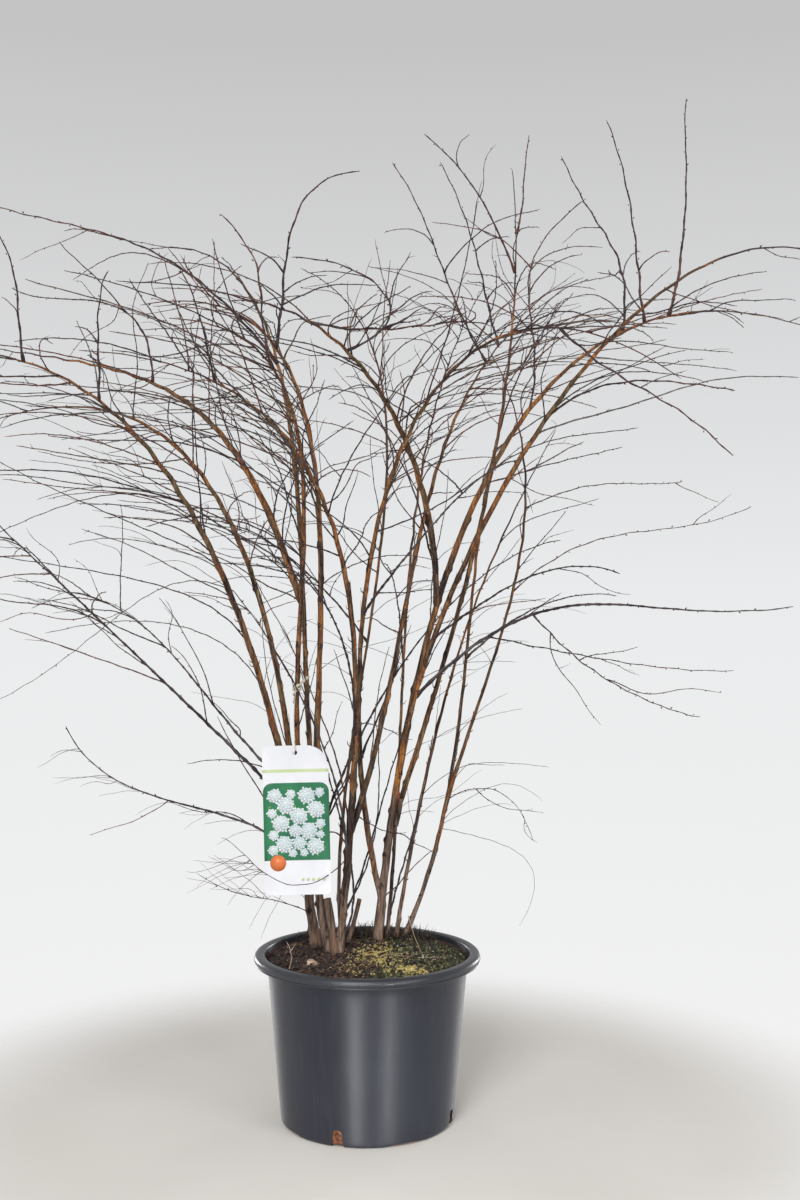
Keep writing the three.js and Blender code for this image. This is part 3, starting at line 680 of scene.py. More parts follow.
# ---------------- finer twigs
# heights in metres that bound the twigs on bare limbs, the fine twigs, the risers and the strays
TWIGS_ABOVE, FINE_BELOW, RISERS_BELOW, STRAYS_BELOW = 0.74, 1.42, 1.2, 0.85
RISERS, RISERS_APART = 26, 14 * MM
LAST_TWIG = 0.93  # the share of a carrier beyond which none grows


def vigour(place):
    """How thickly twigs stand at a place: most in the middle and on the left, few at the top, low
    down and far to the right."""
    x, _, z = place
    edge = 0.14 + 0.24 * smooth(z, 1.1, 1.3) - 0.22 * smooth(z, 1.32, 1.44)
    right = 0.08 + 0.92 * smooth(x, edge + 0.2, edge - 0.08)
    top = between(1.26, 1.54, smooth(x, -0.4, 0.22))
    high = 0.12 + 0.88 * smooth(z, top, top - 0.24)
    rise = 0.1 * smooth(x, -0.28, -0.16) + 0.32 * smooth(x, -0.12, 0.2)
    low = 0.08 + 0.92 * smooth(z, 0.62 + rise, 0.84 + rise)
    return right * high * low


def below_crown(place):
    """True under the outer edge of the crown, which is lower on the left, at the front and far to
    the right."""
    x, y, z = place
    top = between(1.42, 1.62, smooth(x, -0.36, 0.2)) - 0.23 * smooth(x, 0.26, 0.42)
    return z < top - 0.15 * smooth(abs(x + 0.02), 0.16, 0.06) + 0.28 * y


Habit = namedtuple(
    "Habit", "spacing longest share least opening lift droop outward scatter risers thick kink shared"
)
SWEEP = Habit(
    spacing=31 * MM, longest=560 * MM, share=0.62, least=0.4, opening=(0.35, 0.95), lift=(-0.3, 0.3),
    droop=(-0.6, 0.35), outward=1.0, scatter=1.1, risers=0.08, thick=1.2 * MM, kink=0.5 * MM, shared=210 * MM,
)
FINE = SWEEP._replace(
    spacing=185 * MM, longest=260 * MM, share=0.6, opening=(0.35, 0.8), outward=0.7, scatter=1.4,
    thick=0.75 * MM, kink=0.45 * MM, shared=200 * MM,
)
SPUR = FINE._replace(
    spacing=44 * MM, longest=26 * MM, share=0.2, opening=(0.5, 1.1), lift=(-0.2, 0.5), outward=0.2,
    risers=0.0, thick=0.6 * MM, kink=0.2 * MM,
)
STRAY = FINE._replace(
    spacing=70 * MM, longest=260 * MM, share=0.3, opening=(0.5, 1.0), lift=(-0.4, 0.3), droop=(-0.8, 0.3),
    outward=1.0, risers=0.0, thick=0.6 * MM,
)
TUFT = STRAY._replace(lift=(-0.9, 0.5), droop=(-0.9, 0.2), thick=0.5 * MM)
BOW = STRAY._replace(lift=(0.1, 0.5), droop=(-1.6, -0.5), thick=0.6 * MM)
FAN = TUFT._replace(opening=(0.6, 1.5), lift=(-1.4, 0.8), droop=(-1.0, 0.8))


def sweep_controls(carrier, t, habit, length, dice, way=None):
    """A long twig leaves its carrier at a small angle, swings out level, mostly away from the middle
    of the plant, and then droops or lifts at its end. A riser stands up from its carrier."""
    root = carrier.point(t)
    tangent = carrier.tangent(t)
    if way is None:
        away = outward(root)
        turn = dice.gauss(0, habit.scatter)
        way = away * math.cos(turn) + np.cross(UP, away) * math.sin(turn)
    across = way + UP * 0.35
    across = unit(across - tangent * (across @ tangent))
    if dice.random() < habit.risers and root[2] < RISERS_BELOW:
        heading = unit(tangent * 0.4 + UP + across * 0.4)
        leaning = unit(heading + UP * 0.8 + way * dice.uniform(-0.2, 0.5))
        last = unit(leaning + way * dice.uniform(-0.3, 0.6))
    else:
        opening = dice.uniform(*habit.opening)
        heading = tangent * math.cos(opening) + across * math.sin(opening)
        leaning = unit(heading * 0.5 + way * habit.outward + UP * dice.uniform(*habit.lift))
        last = unit(leaning + way * 0.4 + UP * dice.uniform(*habit.droop))
    first = root + heading * length * 0.33
    second = first + leaning * length * 0.34
    return [root, first, second, second + last * length * 0.33]


def twig(carrier, controls, thick, dice, sway, kink, tone, tip=0.5, pitch=0.55):
    """A fine twig, thinner at its tip, whose kinks come closer than a limb's."""
    return Shoot(controls, thick, thick * tip, 1, carrier.mass, dice, sway, kink, tone, pitch)


def grow(carrier, start, habit, dice, tones, thinned=vigour):
    """Finer twigs along a carrier."""
    count = int((1 - start) * carrier.length / habit.spacing)
    longest = min(habit.longest, carrier.length * habit.share)
    made = []
    for i in range(count):
        share = (i + dice.uniform(0, 1)) / count
        t = between(start, LAST_TWIG, share)
        if dice.random() > thinned(carrier.point(t)):
            continue
        full = longest * (1 - 0.5 * t * t) * between(habit.least, 1, dice.random() ** 1.3)
        for trim in (1, 0.7, 0.45):
            length = full * trim
            controls = sweep_controls(carrier, t, habit, length, dice)
            thick = min(habit.thick, float(carrier.radius(t)) * 0.8) * dice.uniform(0.7, 1)
            thick = max(thick, length / 400)
            sway = length * dice.uniform(-0.035, 0.035)
            grown = twig(carrier, controls, thick, dice, sway, habit.kink, dice.choice(tones))
            fits = room.has_space(grown.point(np.linspace(0.25, 1, 7)), carrier.mass, habit.shared)
            if fits and below_crown(controls[-1]):
                made.append(grown)
                break
    return made


shoots, sweeps, fine_twigs, hairs = [], [], [], []
for number, each in enumerate(limbs.values()):
    shoots += source_shoots(each, 11 + 37 * number)
thinning = random.Random(4)
shoots = [
    each
    for each in shoots
    if below_crown(each.controls[-1]) and thinning.random() < 0.16 + 1.05 * vigour(each.controls[-1])
]

# twigs on the limbs, then finer ones on those twigs, but for the highest
growth = random.Random(2024)
for each in limbs.values():
    heights = each.point(np.linspace(0, 1, 60))[:, 2]
    start = float(np.argmax(heights > TWIGS_ABOVE)) / 59 if each.bare else each.start
    sweeps += grow(each, start, SWEEP, growth, [PLUM, PLUM, RED, TAN, GREY])
    hairs += grow(each, start, SPUR, growth, [PLUM, RED, TAN])
for each in shoots + sweeps:
    if each.controls[0][2] <= FINE_BELOW:
        tones = [PLUM, TAN, GREY, GREY]
        fine_twigs += grow(each, 0.08, FINE, growth, tones, lambda place: 0.3 + 0.7 * vigour(place))
        hairs += grow(each, 0.1, SPUR, growth, [PLUM, TAN, GREY], lambda place: 0.1)

# risers that stand up from the feet of the stems, but none close beside another
risen = []
for _ in range(RISERS):
    carrier = growth.choice([each for each in limbs.values() if each.bare and each.thick > MIDDLING])
    t = growth.uniform(0.04, 0.2)
    root = carrier.point(t)
    run = growth.uniform(0.14, 0.45)
    lean = np.array([growth.uniform(-0.55, 0.55), growth.uniform(-0.4, 0.4), 1.0])
    bend = root + unit(carrier.tangent(t) * 0.5 + lean) * run * 0.4
    sideways = np.array([growth.uniform(-0.25, 0.35), growth.uniform(-0.25, 0.25), 0])
    top = bend + unit(lean + sideways) * run * 0.6
    thick = growth.uniform(0.8, 1.6) * MM
    tone = growth.choice([PLUM, GREY, TAN])
    riser = twig(carrier, [root, bend, top], thick, growth, 0.02 * run, 0.5 * MM, tone, 0.4, 0.6)
    if all(abs(top[0] - x) >= RISERS_APART for x in risen):
        risen.append(top[0])
        sweeps.append(riser)
        hairs += grow(riser, 0.2, FINE, growth, [PLUM, GREY], lambda place: 0.8)
for each in limbs.values():
    if each.bare:
        strays = grow(each, 0.06, STRAY, growth, [GREY, TAN, GREY], lambda place: 0.5)
        hairs += [stray for stray in strays if stray.controls[0][2] < STRAYS_BELOW]


def tuft(carrier, low, high, habit, number, length, ways):
    """A few hair-like twigs that leave one stretch of a carrier about the same way."""
    for _ in range(number):
        t = growth.uniform(low, high)
        way = unit(np.array([ways[0], ways[1] + growth.uniform(-0.8, 0.8), 0.0]))
        full = length * growth.uniform(0.5, 1)
        controls = sweep_controls(carrier, t, habit, full, growth, way)
        thick = habit.thick * growth.uniform(0.7, 1)
        hair = twig(carrier, controls, thick, growth, full * growth.uniform(-0.05, 0.05), 0.5 * MM, GREY)
        if room.clear_of_blocks(hair.point(np.linspace(0.3, 1, 8))):
            hairs.append(hair)


def lone(group, on, at, thick, tone, *bends):
    """One twig with bends of its own, in millimetres."""
    carrier = limbs[on]
    controls = [carrier.point(at), *(np.array(bend) * MM for bend in bends)]
    group.append(twig(carrier, controls, thick * MM, growth, 3 * MM, 0.7 * MM, tone))
    return group[-1]


# dark young shoots between the feet of the stems
YOUNG_SHOOTS = (
    ("front", 0.02, 1.8, PLUM, (-12, 0, 330), (-20, 10, 420), (-60, 15, 560), (-110, 20, 690)),
    ("middle", 0.16, 1.6, PLUM, (-60, 20, 500), (-20, 30, 560), (20, 30, 640), (50, 30, 720)),
    ("back", 0.02, 1.7, PLUM, (45, 100, 330), (70, 100, 420), (90, 100, 500), (105, 100, 600)),
    ("back_left", 0.02, 1.7, PLUM, (-20, 80, 350), (0, 60, 430), (30, 60, 510), (60, 60, 620)),
    ("back_left", 0.03, 1.5, GREY, (-10, 80, 360), (15, 60, 430), (25, 60, 520), (15, 60, 620)),
    ("front", 0.15, 1.2, PLUM, (-50, -45, 480), (-70, -50, 460), (-78, -50, 425)),
    ("front_2", 0.03, 0.9, PLUM, (0, -20, 470), (30, 0, 445), (62, 20, 455)),
    ("right", 0.06, 1.1, TAN, (60, 60, 370), (108, 60, 415)),
    ("right", 0.14, 0.9, PLUM, (70, 60, 445), (112, 60, 404)),
)
# long thin twigs that sweep out low on the left
LOW_LEFT_SWEEPS = (
    ("left", 0.5, 1.0, PLUM, (-300, -60, 930), (-430, -90, 960), (-570, -120, 1050)),
    ("left", 0.4, 1.1, PLUM, (-240, -20, 850), (-380, -80, 860), (-570, -120, 892)),
    ("left", 0.34, 0.9, GREY, (-200, -60, 800), (-330, -100, 810), (-480, -140, 776)),
    ("left", 0.47, 0.7, GREY, (-330, -60, 900), (-400, -120, 740), (-560, -140, 672)),
    ("left", 0.56, 0.9, PLUM, (-340, -120, 1010), (-440, -150, 985), (-565, -170, 915)),
)
for row in YOUNG_SHOOTS:
    lone(sweeps, *row)
# a twig that hangs before the card, the hairs at its end and those that bow on the right
before_card = (-55, -95, 395), (-110, -115, 372), (-165, -110, 392), (-190, -95, 455), (-222, -85, 462)
card_twig = lone(hairs, "front", 0.14, 0.85, PLUM, *before_card)
tuft(card_twig, 0.58, 0.78, FAN, 11, 0.12, (-1, -0.1))
tuft(limbs["low_left_4"], 0.15, 0.6, FAN, 6, 0.14, (-1, -0.1))
lone(hairs, "left", 0.08, 0.5, GREY, (-125, 0, 400), (-140, -30, 370), (-166, -40, 296))
lone(hairs, "left", 0.07, 0.45, GREY, (-135, 0, 380), (-160, -30, 360), (-186, -40, 312))
tuft(limbs["low_left_3"], 0.1, 0.5, TUFT, 6, 0.13, (-1, -0.2))
tuft(limbs["low_left_3"], 0.6, 0.95, TUFT, 7, 0.1, (-1, -0.2))
lone(hairs, "back_right", 0.17, 0.5, GREY, (165, 136, 510), (240, 130, 535), (291, 125, 488))
lone(hairs, "back_right", 0.165, 0.45, GREY, (160, 136, 470), (205, 130, 484), (242, 125, 477))
lone(hairs, "back_right", 0.16, 0.5, GREY, (200, 130, 430), (330, 125, 400), (255, 120, 280))
tuft(limbs["low_back"], 0.12, 0.25, BOW, 1, 0.2, (1, -0.3))
tuft(limbs["right"], 0.1, 0.2, STRAY, 2, 0.2, (1, -0.3))
for row in LOW_LEFT_SWEEPS:
    lone(sweeps, *row)


# ---------------- bark of the stems and boughs
def girth(each, shares):
    """Radii of a limb: a stem or a bough stays stout up into the crown."""
    stout = 0.4 * smooth(each.point(shares)[..., 2], 0.7, 1.05) * smooth(shares, 1.0, 0.65)
    return each.radius(shares) * (1 + stout * bool(each.bare))


def ring_places(arcs, sides, twist=0.0):
    """Places on the bark, the same all round: the angle's cosine and sine and the way along."""
    turns = circle(sides) + arcs[:, None] * twist
    return np.stack(np.broadcast_arrays(np.cos(turns), np.sin(turns), arcs[:, None]), axis=-1)


def knots(each, arcs, sides):
    """How far knots, a few centimetres apart, raise each point of the rings."""
    dice = random.Random(f"knots {each.name}")
    raised = np.zeros((len(arcs), sides))
    arc = 0.03
    while arc < arcs[-1]:
        angles = circle(sides) - dice.uniform(0, 2 * np.pi)
        near = np.exp(-(((arcs[:, None] - arc) / (4.5 * MM)) ** 2) - (2 - 2 * np.cos(angles)) / 0.5)
        raised += near * dice.uniform(0.25, 0.6)
        arc += dice.uniform(0.022, 0.05)
    return raised


GNARLED = ("front", "front_2")
GNARL_HEIGHT, GNARL_REACH = 0.45, 0.07
FOOT_TOP = 0.46  # the height in metres up to which the bark is weathered
LICHEN_ON, LICHEN_HEIGHT = "left_2", 0.868


def clean_wood(heap, each, number):
    """The bare part of a stem or a bough, with ridges, a swollen foot or fork, and its tones."""
    sides = 26 if each.thick > STOUT else 18 if each.thick > MIDDLING else 12
    step = 3.4 * MM if each.thick > STOUT else 4.5 * MM
    end = each.bare + 0.012
    count = max(6, round(each.length * end / step))
    shares = np.linspace(0, end, count + 1)
    path = each.point(shares)
    if each.parent is None:
        path = np.concatenate([path[:1] - UP * 9 * MM, path])
        shares = np.concatenate([[0.0], shares])
    arcs = shares * each.length
    radii = girth(each, shares)
    if each.parent:
        hidden = girth(each.parent, each.at) * 0.85
        radii = radii * (1 + 0.45 * np.exp(-arcs / (hidden * 2)))
        radii = np.minimum(radii, hidden + arcs * 0.25)
    places = ring_places(arcs, sides, 2.2)
    ridges = field(places, (1.7, 1.7, 16), number * 7.1)
    fibres = field(places, (4.6, 4.6, 48), number * 3.3)
    lumps = field(places, (0.5, 0.5, 26), number * 5.7)
    depth = np.clip(radii / (6 * MM), 0.35, 1.0)[:, None]
    raised = knots(each, arcs, sides)
    gnarl = np.exp(-(((path[:, 2] - GNARL_HEIGHT) / GNARL_REACH) ** 2))[:, None] * (each.name in GNARLED)
    relief = (0.13 * ridges + 0.07 * fibres + 0.2 * lumps) * depth * (1 + gnarl) + raised + 0.12 * gnarl
    height = path[:-1, 2][:, None] + 0.2 * field(places[:-1], (0.8, 0.8, 9), number)
    streak = field(places[:-1], (1.1, 1.1, 11), number + 40.0)
    slots = np.full(height.shape, BROWN)
    slots[height < FOOT_TOP] = FOOT
    slots[(height > 0.42) & (streak > 0.13)] = AMBER
    slots[(height > 0.4) & (streak < -0.26)] = DARK
    slots[(height > 0.8) & (streak < -0.14)] = DARK
    if each.name == LICHEN_ON:
        slots[(abs(height - LICHEN_HEIGHT) < 0.012) & (streak > -0.2)] = LICHEN
    slots[(raised[:-1] > 0.22) | (gnarl[:-1] + 0.5 * streak > 0.45)] = DARK
    slots = [*slots.reshape(-1).tolist(), BROWN, BROWN]
    heap.add(*tube(path, radii[:, None] * (1 + relief), sides), slots)


def cut_stub(heap, foot, top, radius, number):
    """A stem that was sawn off above the soil."""
    rings, sides = 22, 22
    path = np.linspace(np.array(foot) * MM, np.array(top) * MM, rings)
    path = path + np.sin(np.linspace(0, 3, rings))[:, None] * np.array([1.5, 0.5, 0]) * MM
    arcs = np.linspace(0, 0.09, rings)
    relief = 0.2 * field(ring_places(arcs, sides), (1.8, 1.8, 20), number)
    radii = radius * MM * (1 + 0.25 * np.exp(-arcs / 0.012))
    slots = [*[FOOT] * ((rings - 1) * sides), FOOT, AMBER]
    heap.add(*tube(path, radii[:, None] * (1 + relief), sides), slots)


bark = Heap("bark", BARK_LOOKS, "bark")
for number, each in enumerate(limbs.values()):
    if each.bare:
        clean_wood(bark, each, number)
cut_stub(bark, (-51, -10, 256), (-64, -10, 351), 6, 101)
cut_stub(bark, (-37, 40, 256), (-14, 40, 340), 3.5, 102)
cut_stub(bark, (45, 60, 456), (53, 54, 500), 3.6, 103)
bark.build([name for name in nodes if name.startswith(("stem_", "bough_"))])

peeling = random.Random(5)


def way_out(each, t):
    """The way along a limb and a way out from it, at random round it."""
    turn = peeling.uniform(0, 2 * math.pi)
    tangent = each.tangent(t)
    return tangent, unit(np.cross(tangent, [math.cos(turn), math.sin(turn), 0.1]))


def strip(heap, each):
    """A strip of outer bark that peels off the clean wood."""
    t = peeling.uniform(0.01, each.bare * 0.95)
    run = peeling.uniform(8, 42) * MM
    shares = np.clip(t + np.linspace(0, run, 7) / each.length, 0, each.bare)
    _, side = way_out(each, t)
    lift = np.linspace(0, 1, 7) ** 2 * peeling.uniform(0.3, 4) * MM
    path = each.point(shares) + side * (girth(each, shares) * 0.99 + lift)[:, None]
    profile = peeling.uniform(0.25, 1.1) * MM * np.array([0.5, 0.9, 1, 1, 0.9, 0.7, 0.25])
    tone = FOOT if path[0][2] < FOOT_TOP else peeling.choice([BROWN, AMBER, DARK])
    heap.add(*tube(path, profile, 4, 0.25), tone)


def spur(heap, each):
    """The dry stump of a twig on the clean wood."""
    t = peeling.uniform(0.1, each.bare)
    tangent, side = way_out(each, t)
    run = peeling.uniform(4, 10) * MM
    foot = each.point(t) + side * float(girth(each, t)) * 0.7
    bend = foot + side * run * 0.5 + tangent * run * 0.35
    path = [foot, bend, bend + side * run * 0.2 + tangent * run * 0.6]
    heap.add(*tube(path, np.array([1.3, 0.8, 0.4]) * peeling.uniform(0.6, 1.0) * MM, 6), DARK)


STRIPS, SPUR_SPACING = 5, 0.045  # strips for a metre and a millimetre of radius; metres
strips = Heap("bark_strips", BARK_LOOKS, "bark")
for each in limbs.values():
    for _ in range(int(each.length * each.bare * each.thick / MM * STRIPS)):
        strip(strips, each)
    for _ in range(int(each.length * each.bare / SPUR_SPACING)):
        spur(strips, each)
strips.build()


# ---------------- limbs, twigs and buds
def draw(heap, shoot, sides, step):
    """A twig with a collar at its root and a node at every other ring."""
    count = max(3, round(shoot.length / step))
    shares = np.linspace(0, 1, count + 1)
    swell = 1 + 0.3 * (np.arange(count + 1) % 2)
    collar = 1 + 0.5 * np.exp(-shares * shoot.length / (shoot.thick * 3))
    radii = shoot.radius(shares) * swell * collar
    radii[-1] *= 0.5
    heap.add(*tube(shoot.point(shares), radii, sides), shoot.tone)


twig_nodes = [name for name in nodes if name.startswith("twigs_")]
SLENDER = {
    "low_left_4": 0.5, "low_right_3": 0.5, "crown_1": 0.7, "crown_2": 0.7, "crown_3": 0.6, "crown_4": 0.6,
    "crown_5": 0.75,
}
branches = Heap("branches", [*TWIG_LOOKS, *BARK_LOOKS[BROWN:DARK]], "twigs")
BRANCH_BROWN, BRANCH_AMBER = len(TWIG_LOOKS), len(TWIG_LOOKS) + 1
for number, each in enumerate(limbs.values()):
    low = each.name.startswith("low_")
    count = max(6, round(each.length * (1 - each.bare) / (7 * MM)))
    shares = np.linspace(each.bare, 1, count + 1)
    arcs = shares * each.length
    sides = 10 if each.thick > 2.6 * MM else 7
    places = ring_places(arcs, sides)
    radii = girth(each, shares)
    radii = radii * (1 - (0.45 if each.bare else 0.3) * shares ** (3.0 if each.thick > 3 * MM else 1.0))
    if not each.bare:
        radii = radii * (0.85 + 0.6 * np.exp(-arcs / (6 * MM)))
        radii = radii * (1 + 0.4 * (np.arange(count + 1) % 3 == 1))
    radii = radii * SLENDER.get(each.name, 1)
    relief = 0.13 * field(places, (1.5, 1.5, 22), number) + 0.1 * field(places, (0.2, 0.2, 60), number + 9.0)
    radii = radii[:, None] * (1 + relief)
    radii[-1] *= 0.5
    zigzag = waves(arcs / 0.056) * smooth(shares, each.bare, each.bare + 0.1) * (0.4 if low else 1.2) * MM
    streak = field(places[:-1], (0.7, 0.7, 7), number + 3.0)
    thick = each.radius(shares[:-1])[:, None] + 0 * streak
    slots = np.where(streak > 0.1, RED, TAN)
    slots[(thick > 1.6 * MM) & (streak > 0.04)] = BRANCH_AMBER
    slots[(thick > 1.9 * MM) & (streak < 0.04)] = BRANCH_BROWN
    slots[(thick < 1.6 * MM) & (streak < 0.0)] = PLUM
    if not each.bare:
        slots = np.where(streak > 0.12, GREY if low else RED, PLUM)
    path = each.point(shares) + zigzag[:, None] * each.side
    branches.add(*tube(path, radii, sides), [*slots.reshape(-1).tolist(), RED, PLUM])
branches.build(twig_nodes)

for name, twigs, sides, step in (
    ("shoots", shoots, 5, 10.5 * MM),
    ("twigs_long", sweeps, 5, 9 * MM),
    ("twigs_fine", fine_twigs, 4, 9 * MM),
    ("twigs_hair", hairs, 3, 9 * MM),
):
    heap = Heap(name, TWIG_LOOKS, "twigs")
    for each in twigs:
        draw(heap, each, sides, step)
    heap.build(twig_nodes)

# buds follow each other round their carrier, pointed and pressed towards its end; in metres
FIRST_BUD, BUD_SPACING = 0.012, 0.021
buds = Heap("buds", TWIG_LOOKS, "twigs")
bud_dice = random.Random(8)
rows = {tone: [] for tone in range(len(TWIG_LOOKS))}
for each in [*shoots, *sweeps, *limbs.values()]:
    turn = bud_dice.uniform(0, 6)
    for arc in np.arange(each.start * each.length + FIRST_BUD, each.length, BUD_SPACING):
        t = arc / each.length
        turn += GOLDEN
        tangent = each.tangent(t)
        side = unit(np.cross(tangent, UP + 0.01))
        radial = side * math.cos(turn) + np.cross(tangent, side) * math.sin(turn)
        size = bud_dice.uniform(2.0, 3.8) * (1.4 if each.thick > 1.6 * MM else 1) * MM
        root = each.point(t) + radial * each.radius(t) * 0.6
        heading = unit(tangent * 0.75 + radial * 0.65)
        across = unit(np.cross(heading, side + 0.01))
        width = size * 0.24
        rows[each.tone].append((root, heading * size, across * width, np.cross(heading, across) * width))
for tone, found in rows.items():
    root, heading, across, along = (np.array(column) for column in zip(*found))
    middle = root + heading * 0.4
    corners = [root, middle + across, middle + along, middle - across, middle - along, root + heading]
    faces = [[0, 2, 1], [0, 3, 2], [0, 4, 3], [0, 1, 4], [5, 1, 2], [5, 2, 3], [5, 3, 4], [5, 4, 1]]
    buds.copies(np.stack(corners, axis=1), faces, tone)
buds.build(twig_nodes)

# ---------------- pot
POT_FOOT, POT_TOP, POT_TOP_HEIGHT = 137.5, 158.0, 236.0
POT_WALL, POT_SIDES = 2.5, 144
RIM_FOOT, INSIDE_TOP = 246, 256.0


def wall_radius(height):
    return POT_FOOT + (POT_TOP - POT_FOOT) * height / POT_TOP_HEIGHT


def arc_points(middle, height, radius, start, end, count):
    angles = np.radians(np.linspace(start, end, count))
    return [(middle + radius * math.cos(a), height + radius * math.sin(a)) for a in angles]


def pot_profile():
    """The outline of the pot's section, in millimetres, from the middle of its underside round the
    outside and the rim to the middle of its floor."""
    walls = np.linspace(14, 232, 24)
    return [
        *((0.0, 1.2), (118.0, 1.2), (121.0, 0.0)),
        *arc_points(wall_radius(9) - 9, 9, 9, -90, -5, 7),
        *((wall_radius(h), h) for h in walls),
        *((158.2, 236.0), (159.4, 240.5), (161.2, 245.0)),
        *arc_points(164.6, 247.6, 2.4, 165, 100, 4),
        *arc_points(177.0, 252.2, 1.3, -90, 60, 6),
        (177.0, 254.0),
        *arc_points(172.8, 258.4, 7.2, -36, 92, 11),
        (168.0, 265.6),
        *arc_points(165.6, 262.6, 2.6, 90, 180, 4),
        *((162.2, INSIDE_TOP), (159.0, 246.0)),
        *((wall_radius(h) - POT_WALL, h) for h in walls[::-1]),
        *arc_points(wall_radius(9) - 11, 12.6, 8.5, 0, -88, 5),
        (0.0, 4.0),
    ]


def wall_waves(angles):
    """The slight unevenness of a thin moulded wall."""
    round_wall = np.stack([np.cos(angles), np.sin(angles), 0 * angles], axis=1)
    return 0.3 * MM * field(round_wall, (2.6, 2.6, 1), 3.0) + 0.1 * MM * field(round_wall, (9, 9, 1), 8.0)


def lathe(profile, sides):
    """A closed body of revolution from a profile that starts and ends on the axis. It is a little
    uneven where it is more than 130 mm from the axis."""
    angles = circle(sides)
    inner = np.array(profile[1:-1]) * MM
    radii = inner[:, 0][:, None] + wall_waves(angles)[None, :] * (inner[:, 0] > 0.13)[:, None]
    heights = np.broadcast_to(inner[:, 1][:, None], radii.shape)
    rings = np.stack([radii * np.cos(angles), radii * np.sin(angles), heights], axis=-1)
    ends = [[0, 0, profile[0][1] * MM], [0, 0, profile[-1][1] * MM]]
    points = np.concatenate([rings.reshape(-1, 3), ends])
    under, over = len(points) - 2, len(points) - 1
    last = sides * (len(inner) - 1)
    around = [(i, (i + 1) % sides) for i in range(sides)]
    floor_faces = [[under, following, i] for i, following in around]
    lid_faces = [[over, last + i, last + following] for i, following in around]
    return points, tube_faces(len(inner), sides)[:-2] + floor_faces + lid_faces


def cut(piece, cutter):
    """Takes the cutter's shape out of the piece."""
    modifier = piece.modifiers.new("cut", "BOOLEAN")
    modifier.object, modifier.operation, modifier.solver = cutter, "DIFFERENCE", "EXACT"
    graph = bpy.context.evaluated_depsgraph_get()
    mesh = bpy.data.meshes.new_from_object(piece.evaluated_get(graph))
    piece.modifiers.clear()
    piece.data = mesh
    bpy.data.objects.remove(cutter)


def notch_cutters():
    """The drain notches at the ground and the shallow arcs between the pot's feet."""
    made = bmesh.new()
    half = [(10.5, -3), (7.6, 23), (5.5, 26.4), (3, 27.4)]
    notch = [(-10.5, -3), *half, *((-x, z) for x, z in half[:0:-1])]
    arc = [(-40, -3), (40, -3), *((x * -38, 5.4 * (1 - abs(x) ** 8)) for x in np.linspace(-1, 1, 15))]
    for outline, first, depth in ((notch, -108, 14), (arc, -63, 12)):
        for i in range(4):
            spin = Matrix.Rotation(math.radians(first + 90 * i), 4, "Z")
            near, far = (
                [made.verts.new(spin @ Vector((reach * MM, x * MM, z * MM))) for x, z in outline]
                for reach in (POT_FOOT - depth, POT_FOOT + 26)
            )
            made.faces.new(near[::-1])
            made.faces.new(far)
            for j in range(len(outline)):
                k = (j + 1) % len(outline)
                made.faces.new([near[j], near[k], far[k], far[j]])
    return finished(made, "cutters")


profile = pot_profile()
heights = [height for _, height in profile[1:-1]]
lip = next(i for i, height in enumerate(heights) if height > RIM_FOOT)
inside = heights.index(INSIDE_TOP)
# the inner wall from the top of the inside down, and the inner floor, take slot 2: a painted reflection of
# the soil
bands = [0] * lip + [1] * (inside - lip) + [2] * (len(heights) - 1 - inside)
pot_heap = Heap("pot_shell", POT_LOOKS, "pot_plastic")
slots = [*np.repeat(bands, POT_SIDES).tolist(), *[0] * POT_SIDES, *[2] * POT_SIDES]
pot_heap.add(*lathe(profile, POT_SIDES), slots)
pot_shell = pot_heap.build(["pot"])
cut(pot_shell, notch_cutters())
pot_shell.data.set_sharp_from_angle(angle=math.radians(38))


# ---------------- soil
BED_REACH = 0.151


def inner_wall(height):
    """The soil's radius, a little less than the pot's inside."""
    return wall_radius(height) - 3.2


def ripple(x, y, scale, layer):
    return noise.noise(Vector((x * scale, y * scale, layer)))


def soil_height(x, y):
    """The height of the soil's top at a place, in metres: it falls towards the wall."""
    slope = max(0.0, (math.hypot(x, y) - 0.128) / 0.029)
    rough = 4.2 * ripple(x, y, 34, 1) + 2.4 * ripple(x, y, 120, 5)
    mound = 3.2 * math.exp(-(((x + 0.02) / 0.07) ** 2 + ((y - 0.04) / 0.07) ** 2))
    return (SOIL_TOP - 1.5 - 9 * min(slope, 1.0) + rough + mound) * MM


def in_moss(x, y):
    """Above 0 where moss grows, on the right of the bed."""
    return x + 0.06 * ripple(x, y, 22, 9) - abs(y + 0.02) * 0.12


bed = Heap("soil_bed", SOIL_LOOKS, "soil")
SOIL_SIDES, SOIL_RINGS = 176, 72
SIDE_HEIGHTS = (246, 200, 150, 100, 60, 40, 30, 20, 12, 5)
points = []
for radius in np.linspace(0.002, inner_wall(254) * MM, SOIL_RINGS):
    for a in circle(SOIL_SIDES):
        x, y = radius * math.cos(a), radius * math.sin(a)
        points.append((x, y, soil_height(x, y)))
for height in SIDE_HEIGHTS:
    for a in circle(SOIL_SIDES):
        reach = inner_wall(height) + 0.9 * (ripple(math.cos(a), math.sin(a), 30, height) - 0.6)
        points.append((reach * MM * math.cos(a), reach * MM * math.sin(a), height * MM))
slots = []
for i, (x, y, z) in enumerate(points[:-SOIL_SIDES]):
    if i >= (SOIL_RINGS - 1) * SOIL_SIDES:
        slots.append(RUST if z < 0.06 else LOAM)
    elif in_moss(x, y) > 0:
        slots.append(MOSS)
    else:
        slots.append(EARTH if ripple(x, y, 50, 0) < 0.15 else LOAM)
faces = [face[::-1] for face in tube_faces(SOIL_RINGS + len(SIDE_HEIGHTS), SOIL_SIDES)]
bed.add(np.array(points), faces, [*slots, EARTH, RUST])
bed.build(["soil"])

